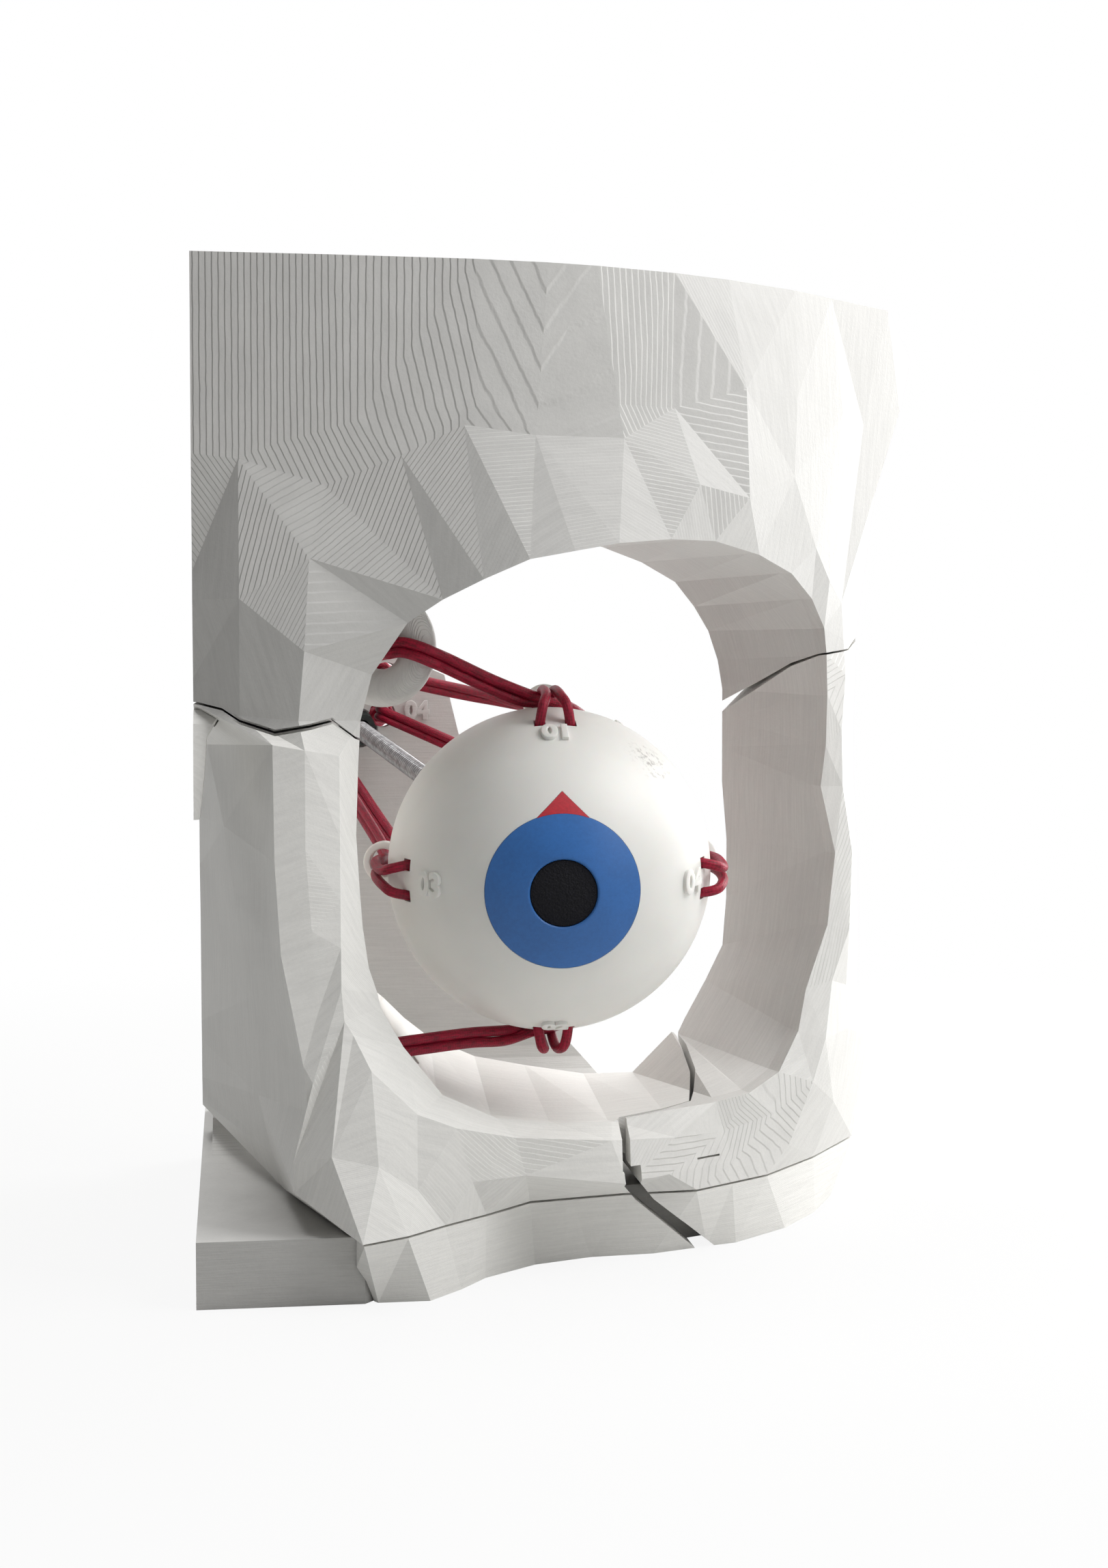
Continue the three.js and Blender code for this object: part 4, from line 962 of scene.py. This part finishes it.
class EYEMODEL_OT_pulley(bpy.types.Operator):
    """Builds the smooth pulley ring of the upper oblique cord, let into the brow."""

    bl_idname = "eye_model.pulley"
    bl_label = "Pulley ring"

    def execute(self, context):
        s = settings("print")
        angle = full_turn(36)
        width = TROCHLEA_RADIUS + TROCHLEA_HALF_WIDTH * np.cos(angle)
        profile = np.stack([width, TROCHLEA_HALF_DEPTH * np.sin(angle)], -1)
        grid = turned(profile, TROCHLEA_FACING, TROCHLEA_CENTRE, 120)
        ring = finished("pulley", grid_mesh([grid], wrap_rows=True))
        finish = printed("pulley_print", s.bone, BROW_BUILD, millimetres(s.layer), 0.05, shown=(0.55, 0.85))
        dress(ring, "skull", finish, ["trochlea_ring"])
        return {"FINISHED"}


# Cords


PLATE_HOLES = {
    "superior_rectus": (39.9, 107.8),
    "lateral_rectus": (39.1, 99.4),
    "medial_rectus": (22.6, 102.8),
    "inferior_rectus": (30.1, 88.6),
    "superior_oblique": (30.5, 107.5),
}
# Where the cord that has no hole in the plate leaves the bone
BONE_START = [(30.2, 15.2, 42.1), (34, 19, 41)]
CORD_RADIUS = 1.0
KNOT_RADIUS = 3.4
# Half the distance between a cord's two strands at its eyelet; before that it is their radius less PRESSED
STRAND_SPREAD = 0.98
PRESSED = 0.04
# Height over the globe up to which the two strands lie side by side on it
RESTING = 2.2
# Angle between eyelet and slots past which a strand has one more point on the way
LONG_WRAP = math.radians(35)
# Parts of a cord: a pair of bodies, the shares of the cord's free length where it is cut,
# and a narrower pair of shares; only the cuts are used
PARTS = (
    (("skull", "yaw_cup"), (-math.inf, 0.5), (0.08, 0.46)),
    (("yaw_cup", "pitch_cup"), (0.5, 0.76), (0.53, 0.73)),
    (("pitch_cup", "eyeball"), (0.76, math.inf), (0.79, 0.97)),
)


def through_trochlea():
    """Route through the ring, over its front face and round its outer edge."""
    path = np.array([(0.9, -3.5, 0), (1.5, 0, 0), (3, 3.1, -0.3), (6.3, 4.1, 0), (9.6, 3.8, -0.8),
                     (11.9, 1.9, -2), (12.8, -1, -2.9)])
    return (TROCHLEA_CENTRE + path @ np.array([TROCHLEA_ACROSS, TROCHLEA_FACING, UP])).tolist()


def over_globe(x, y, z, height):
    """Place over the eyeball, a height above its surface, in the direction (x, y, z) from its centre."""
    return (EYE + unit((x, y, z)) * (GLOBE_RADIUS + height)).tolist()


ROUTES = {
    "superior_rectus": [(48.3, 89.3, 105.6), (56.6, 66.7, 103.6)],
    "inferior_rectus": [(45, 80, 66)],
    "medial_rectus": [(28.8, 78, 86.5)],
    "lateral_rectus": [(66, 80, 87)],
    "superior_oblique": [(31, 80, 109), (34, 50, 112.3), *through_trochlea(),
                         over_globe(-11, -0.2, 34.3, 6.0), over_globe(-5, 1.0, 32, 2.3),
                         over_globe(0, 4.3, 31.6, 1.2), over_globe(4, 8.0, 30.7, 1.25),
                         over_globe(8.5, 13.2, 27.6, 1.5)],
    "inferior_oblique": [(39, 22, 41), over_globe(-15, -3, -31, 4.57), over_globe(-8, 2, -31.5, 2.56),
                         over_globe(-3, 5.2, -31.1, 1.67), over_globe(1, 7.4, -30.7, 1.6),
                         over_globe(6, 10.8, -29, 1.52)],
}
# Control point of each route from which the cord follows the eye
FREE_FROM = {"superior_oblique": 10, "inferior_oblique": 3}
BRIDGING = ("superior_rectus", "inferior_rectus")


def strand_points(name, sign, spread):
    """Control points of one strand, from behind the plate to its slot in the globe.

    The two strands of a cord lie one above the other where they leave the plate, turn with the cube of the
    share of the way, and lie side by side where they rest on the globe.
    """
    start = BONE_START
    if name in PLATE_HOLES:
        x, z = PLATE_HOLES[name]
        start = [(x, PLATE_BACK_Y + 3, z), (x, PLATE_FRONT_Y + 1, z)]
    free = np.array([*start, *ROUTES[name]], float)
    eyelet, slots = insertion_frame(name, False), insertion_frame(name, True)
    lift = GLOBE_RADIUS + CORD_RADIUS + CLEARANCE
    rise = 1.8 if name in BRIDGING else 1.0

    def at(place, height, ahead, across):
        """Point at a height from the eye's centre, moved ahead towards the slots and across."""
        out, along, side = place
        return on_eye(out * height + along * ahead + side * across)

    last = at(eyelet, GLOBE_RADIUS + EYELET_OFFSET, 0, 0)
    side = eyelet[2] @ GAZE.T
    upright = np.array([0, 0, -1.0 if side[2] < 0 else 1.0])
    run = unit(np.diff(np.vstack([free, last]), axis=0))
    share = (np.arange(len(free)) / len(free))[:, None] ** 3
    across = upright * (1 - share) + side * share
    across = unit(across - np.einsum("ij,ij->i", across, run)[:, None] * run)
    flat = unit(np.cross(free - EYE, run))
    flat = flat * np.sign(flat @ side)[:, None]
    resting = np.linalg.norm(free - EYE, axis=1) < GLOBE_RADIUS + RESTING
    across = np.where(resting[:, None], flat, across)
    turn = SLOT_FLOOR + CORD_RADIUS + CLEARANCE
    # Each point over the globe: its place, height from the centre, way ahead, and distance to the side
    stations = [
        (eyelet, lift + 0.5, -2.0, STRAND_SPREAD),
        (eyelet, lift + 0.5, 2.2, STRAND_SPREAD),
        (slots, lift + rise, -4.6, STRAND_SPREAD + 0.4),
        (slots, lift + rise * 0.75, -1.2, SLOT_SPREAD - 0.6),
        (slots, GLOBE_RADIUS - 1.2, 0.0, SLOT_SPREAD),
        (slots, turn + CLEARANCE, 0.0, SLOT_SPREAD - 0.3),
    ]
    if math.acos(float(eyelet[0] @ slots[0])) > LONG_WRAP:
        out = unit(slots[0] + (eyelet[0] - slots[0]) * 0.7)
        stations.insert(2, ((out, slots[1], slots[2]), lift + rise, 0.0, STRAND_SPREAD + 0.1))
    over = [at(place, height, ahead, sign * aside) for place, height, ahead, aside in stations]
    return [*(free + across * sign * spread), *over], at(slots, turn, 0, 0)


def travelled_along(line):
    """Length of the way from a line's start to each of its points."""
    return np.concatenate([[0], np.cumsum(np.linalg.norm(np.diff(line, axis=0), axis=1))])


def smooth_line(points, step=0.5, fine=60):
    """Centripetal Catmull-Rom curve through the points, at even steps, and the way to each step and point."""
    points = np.asarray(points, float)
    padded = np.vstack([2 * points[0] - points[1], points, 2 * points[-1] - points[-2]])
    a, b, c, d = padded[:-3], padded[1:-2], padded[2:-1], padded[3:]
    span = np.sqrt(np.linalg.norm(np.diff(padded, axis=0), axis=1))[:, None]
    before, here, after = span[:-2], span[1:-1], span[2:]
    leave = ((b - a) / before - (c - a) / (before + here) + (c - b) / here) * here
    reach = ((c - b) / here - (d - b) / (here + after) + (d - c) / after) * here
    t = np.linspace(0, 1, fine, endpoint=False)[None, :, None]
    cubic = (2 * b - 2 * c + leave + reach)[:, None]
    square = (-3 * b + 3 * c - 2 * leave - reach)[:, None]
    dense = (cubic * t ** 3 + square * t ** 2 + leave[:, None] * t + b[:, None]).reshape(-1, 3)
    dense = np.vstack([dense, points[-1]])
    travelled = travelled_along(dense)
    even = np.linspace(0, travelled[-1], int(travelled[-1] / step) + 1)
    line = np.stack([np.interp(even, travelled, dense[:, k]) for k in range(3)], -1)
    return line, even, travelled[::fine]


def carried_frames(line):
    """Two directions square to the line at each station, turned as little as can be from one to the next."""
    tangent = unit(np.gradient(line, axis=0))
    normals = [axis_frame(tangent[0])[0]]
    for after in tangent[1:]:
        normals.append(unit(normals[-1] - (normals[-1] @ after) * after))
    return np.array(normals), np.cross(tangent, normals)


def tube(line, radius, around=14):
    """Grid of a round tube: the circle of the given radius at each station of the line."""
    normal, other = carried_frames(line)
    angle = np.arange(around + 1) / around * 2 * math.pi
    return line[:, None] + np.asarray(radius)[:, None, None] * circle(angle, normal[:, None], other[:, None])


def sheathed(name, grids, lengths):
    """Closed tubes with a UV map: u is the length along the cord and v the turn round it."""
    points, faces, uvs, start = [], [], [], 0
    for grid, along in zip(grids, lengths):
        rows, columns = grid.shape[0], grid.shape[1] - 1
        points.append(grid[:, :-1].reshape(-1, 3))
        faces += grid_faces(rows, columns, False, True, start).tolist()
        r = np.repeat(np.arange(rows - 1), columns)
        c = np.tile(np.arange(columns), rows - 1)
        u = np.stack([along[r], along[r + 1], along[r + 1], along[r]], -1)
        v = np.stack([c, c, c + 1, c + 1], -1) / columns
        uvs.append(np.stack([u, v], -1).reshape(-1, 2))
        for end, flip in ((0, -1), (rows - 1, 1)):
            faces.append((np.arange(columns)[::flip] + start + end * columns).tolist())
            uvs.append(np.tile([along[end], 0.5], (columns, 1)))
        start += rows * columns
    mesh = new_mesh(name, np.concatenate(points), faces)
    mesh.uv_layers.new(name="cord").data.foreach_set("uv", np.concatenate(uvs).ravel())
    return finished(name, mesh, sharp=math.radians(60))


def cord_parts(name):
    """Grids and lengths of a doubled cord's parts, and the two ends of its free length."""
    s = settings("cord")
    slack, taut = millimetres(s.radius), millimetres(s.oblique if "oblique" in name else s.stretched)
    near, turn = strand_points(name, 1, taut - PRESSED)
    far, _ = strand_points(name, -1, taut - PRESSED)
    line, even, marks = smooth_line([*near, turn, *far[::-1]])
    free_start = FREE_FROM.get(name, 1)
    free_end = 2 + len(ROUTES[name])
    total = even[-1]
    from_end = np.minimum(even, total - even)
    first_half = even < total / 2
    start = np.where(first_half, marks[free_start], total - marks[-1 - free_start])
    eyelet = np.where(first_half, marks[free_end], total - marks[-1 - free_end])
    radius = taut + (slack - taut) * np.clip((from_end - eyelet + 2) / 6, 0, 1)
    share = (from_end - start) / (eyelet - start)
    grid, parts = tube(line, radius), []
    for _, (low, high), _ in PARTS:
        stations = np.flatnonzero((share >= low) & (share <= high))
        runs = np.split(stations, np.flatnonzero(np.diff(stations) > 1) + 1)
        runs = [np.unique(np.clip([*run, run[-1] + 1], 0, len(line) - 1)) for run in runs]
        parts.append(([grid[run] for run in runs], [even[run] for run in runs]))
    first = np.flatnonzero(first_half)
    ends = [line[first[np.argmin(np.abs(share[first] - place))]] for place in (0.0, 1.0)]
    return parts, ends


class EYEMODEL_OT_cords(bpy.types.Operator):
    """Builds the six doubled elastic cords and their knots behind the plate."""

    bl_idname = "eye_model.cords"
    bl_label = "Muscle cords"

    def execute(self, context):
        finish = cord_finish()
        for name in INSERTIONS:
            parts, (start, end) = cord_parts(name)
            for number, ((grids, lengths), (pair, _, zone)) in enumerate(zip(parts, PARTS), 1):
                piece = sheathed(f"{name}_strands_{number}", grids, lengths)
                piece.data.materials.append(finish)
                low, high = (frame_points(start + (end - start) * share) for share in zone)
                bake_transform(piece)
                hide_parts(name + "_cord")
            if name in PLATE_HOLES:
                x, z = PLATE_HOLES[name]
                knot = sheathed(name + "_knot", *knot_grid((x, PLATE_BACK_Y + CLEARANCE + KNOT_RADIUS, z)))
                dress(knot, "skull", finish, [name + "_cord"])
        return {"FINISHED"}


def knot_grid(centre, ring=1.62, swing=0.78, flat=1.35, radius=0.98):
    """Tight knot: a trefoil wound round a ring, twice about y while it swings three times, pulled flat."""
    t = np.linspace(0, 2 * math.pi, 160)
    out = ring + swing * np.cos(3 * t)
    line = np.stack([out * np.cos(2 * t), flat * np.sin(3 * t), out * np.sin(2 * t)], -1) + centre
    return [tube(line, np.full(len(line), radius))], [travelled_along(line)]


def cord_finish():
    """Woven elastic sheath: streaks of thread along the cord under a fine braid of two slanting waves.

    The place round the cord is turned to a circle by its sine and cosine, so the streaks close on themselves.
    """
    red = settings("cord").red
    finish = Finish("cord_red")
    uv = finish.node("ShaderNodeUVMap", {"uv_map": "cord"})
    along, turn = finish.part(uv, 0), finish.part(uv, 1) * (2 * math.pi)
    circled = {0: turn.sine() * 3.4, 1: (turn + math.pi / 2).sine() * 3.4, 2: along * 0.7}
    thread = finish.noise(finish.node("ShaderNodeCombineXYZ", values=circled), 1.0, 3.0, 0.65)
    pitch = 2 * math.pi / 1.1
    braid = (along * pitch + turn * 6).sine() * (along * pitch - turn * 6).sine()
    broad = finish.noise(finish.place(), 0.2, 2.0)
    relief = thread * 0.8 + braid * 0.12
    tint = finish.tinted((thread + braid * 0.06).clamped(0.30, 0.66), red, 0.42, 1.25)
    aged = finish.mix(broad.clamped(0.35, 0.75) * 0.35, tint, (0.16, 0.004, 0.02))
    return finish.done(Base_Color=aged, Roughness=thread * 0.2 + 0.40, Normal=finish.bump(relief, 0.16, 0.8),
                       Sheen_Weight=0.05, Sheen_Roughness=0.35, Sheen_Tint=(1.0, 0.3, 0.45),
                       Specular_IOR_Level=0.3)


# Bones and base


# Colour in the settings, direction of the layers, depth of the grain and nodes of each print
PRINTS = {
    "brow_print": ("bone", BROW_BUILD, 0.03, ["frontal_bone"]),
    # The jaw's colour, used by the jaw and the feet, is the print's grey made lighter as painted light.
    "jaw_print": ("jaw", JAW_BUILD, 0.03, ["maxilla", "nasal_bone"]),
    "cheek_print": ("cheek", CHEEK_BUILD, 0.03, ["zygomatic_bone"]),
    "foot_print": ("jaw", UP, 0.07, ["maxilla_foot", "zygomatic_foot"]),
    "base_print": ("base", UP, 0.07, ["base_slab"]),
}
PLATE_FIGURE = {"text": "04", "size": 5.2, "relief": 0.60}
PLATE_FIGURE_X = 46.6
PLATE_FIGURE_Z = 100.0


class EYEMODEL_OT_prints(bpy.types.Operator):
    """Gives the printed bones, feet and base their layered finish, and adds the plate's raised figures."""

    bl_idname = "eye_model.prints"
    bl_label = "Printed bones and base"

    def execute(self, context):
        s = settings("print")
        finishes = {}
        for name, (tone, build, grain, nodes) in PRINTS.items():
            finishes[name] = printed(name, getattr(s, tone), build, millimetres(s.layer), grain)
            for node in nodes:
                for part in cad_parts[node].material_slots:
                    part.material = finishes[name]
        figure = numeral("plate_figure", spread=on_plate, **PLATE_FIGURE)
        dress(figure, "skull", finishes["base_print"])
        return {"FINISHED"}


def on_plate(points):
    """Lays flat figures on the plate's front: x across, y up, z out of the plate."""
    return np.stack([PLATE_FIGURE_X + points[:, 0], PLATE_FRONT_Y - points[:, 2],
                     PLATE_FIGURE_Z + points[:, 1]], -1)


# Stage


FLOOR_HALF = 3.0
MIDDLE = (0.0, 0.0, 0.085)
# Side of each square lamp, its place and the point that it looks at, in metres
LAMPS = {
    "key": (0.25, (0.26, -0.12, 0.36), MIDDLE),
    "rim": (0.25, (0.28, 0.22, 0.16), MIDDLE),
    "fill": (0.5, (0.55, -0.60, 0.30), MIDDLE),
    "top": (0.6, (-0.05, -0.10, 0.85), MIDDLE),
    "back": (0.5, (0.50, 0.60, 0.50), MIDDLE),
    "side": (0.25, (-0.20, 0.05, 0.85), (-0.10, 0.0, 0.0)),
}
CAMERA_PLACE = (7.35, -390.0, 108.3)
CAMERA_DOWN = 2.77
CAMERA_TURN = 7.9
FOCAL_PIXELS = 3357.0
PHOTO_HEIGHT_PIXELS = 2296.0
SENSOR_HEIGHT = 36.0


class EYEMODEL_OT_stage(bpy.types.Operator):
    """Places the pale floor, the lamps and the camera."""

    bl_idname = "eye_model.stage"
    bl_label = "Floor, lamps and camera"

    def execute(self, context):
        s = settings("stage")
        scene = context.scene
        scene.view_settings.view_transform = "Standard"
        floor = bpy.data.meshes.new("floor")
        half = FLOOR_HALF
        corners = [(-half, -half, 0), (half, -half, 0), (half, half, 0), (-half, half, 0)]
        floor.from_pydata(corners, [], [(0, 1, 2, 3)])
        ground = bpy.data.objects.new("floor", floor)
        scene.collection.objects.link(ground)
        floor.materials.append(floor_finish(s.floor))
        ground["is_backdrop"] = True
        scene.world = room(s.ambient)
        for name, (size, place, target) in LAMPS.items():
            lamp(name, getattr(s, name), size, place, target)
        camera = bpy.data.cameras.new("camera")
        camera.sensor_fit = "VERTICAL"
        camera.sensor_height = SENSOR_HEIGHT
        camera.lens = FOCAL_PIXELS / PHOTO_HEIGHT_PIXELS * SENSOR_HEIGHT
        camera.clip_start = 0.01
        view = bpy.data.objects.new("camera", camera)
        view.location = frame_points(CAMERA_PLACE)
        view.rotation_euler = (math.radians(90 - CAMERA_DOWN), 0, math.radians(-CAMERA_TURN))
        scene.collection.objects.link(view)
        scene.camera = view
        return {"FINISHED"}


def lamp(name, power, size, place, target):
    """Square area lamp that looks at a target."""
    light = bpy.data.lights.new(name, "AREA")
    light.energy = power
    light.shape = "SQUARE"
    light.size = size
    holder = bpy.data.objects.new(name, light)
    holder.location = place
    holder.rotation_euler = (Vector(target) - Vector(place)).to_track_quat("-Z", "Y").to_euler()
    holder.visible_camera = False
    bpy.context.scene.collection.objects.link(holder)


def seen_rays(finish):
    """1 for rays of the camera, of gloss and of glass, 0 for the light that falls on the object."""
    camera, gloss, glass = (finish.node("ShaderNodeLightPath", output=key)
                            for key in ("Is Camera Ray", "Is Glossy Ray", "Is Transmission Ray"))
    return camera.math("MAXIMUM", gloss.math("MAXIMUM", glass))


def floor_finish(tone):
    """Pale floor that keeps a soft shadow round the object and looks white further off."""
    finish = Finish("floor")
    white = finish.node("ShaderNodeEmission", values={"Color": opaque((1, 1, 1)), "Strength": 1.0})
    plain = finish.node("ShaderNodeBsdfDiffuse", values={"Color": opaque(tone)})
    away = finish.distance(finish.place(), (0.0, 0.0, 0.0)).clamped(130.0, 420.0)
    share = seen_rays(finish) * (away * 0.11 + 0.89)
    return finish.ended(finish.node("ShaderNodeMixShader", values={0: share, 1: plain, 2: white}))


def room(ambient):
    """Even room light, and plain white where the camera or a gloss sees past the floor."""
    finish = Finish("room", "worlds")
    values = {"Color": opaque((1, 1, 1)), "Strength": seen_rays(finish) * (1.0 - ambient) + ambient}
    return finish.ended(finish.node("ShaderNodeBackground", values=values), "ShaderNodeOutputWorld")


# Panel and running


OPERATORS = (EYEMODEL_OT_prints, EYEMODEL_OT_globe, EYEMODEL_OT_iris, EYEMODEL_OT_rod, EYEMODEL_OT_pulley,
             EYEMODEL_OT_cords, EYEMODEL_OT_stage)
GROUPS = {"print": PrintSettings, "eye": EyeSettings, "cord": CordSettings, "metal": MetalSettings,
          "stage": StageSettings}


class EYEMODEL_PT_panel(bpy.types.Panel):
    """Buttons for each piece of the model."""

    bl_idname = "EYEMODEL_PT_panel"
    bl_label = "Eye Model"
    bl_space_type = "VIEW_3D"
    bl_region_type = "UI"
    bl_category = "Eye Model"

    def draw(self, context):
        for operator in OPERATORS:
            self.layout.operator(operator.bl_idname)
        for key, group in GROUPS.items():
            box = self.layout.box()
            for field in group.__annotations__:
                box.prop(settings(key), field)


def register():
    """Makes the settings, the operators and the panel known to Blender."""
    for key, group in GROUPS.items():
        bpy.utils.register_class(group)
        setattr(bpy.types.Scene, "eye_model_" + key, bpy.props.PointerProperty(type=group))
    for thing in (*OPERATORS, EYEMODEL_PT_panel):
        bpy.utils.register_class(thing)


def unregister():
    """Takes them away again."""
    for thing in (EYEMODEL_PT_panel, *OPERATORS):
        bpy.utils.unregister_class(thing)
    for key, group in GROUPS.items():
        delattr(bpy.types.Scene, "eye_model_" + key)
        bpy.utils.unregister_class(group)


def plain(bounds):
    """Bounds as lists of numbers."""
    return [[float(value) for value in corner] for corner in bounds]


def main():
    """Builds everything in order."""
    register()
    for operator in OPERATORS:
        area, name = operator.bl_idname.split(".")
        if getattr(getattr(bpy.ops, area), name)() != {"FINISHED"}:
            raise RuntimeError(operator.bl_label + " was not finished")
    {"cad": plain(CAD_BOX), "visual": plain(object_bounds())}


if __name__ == "__main__":
    main()
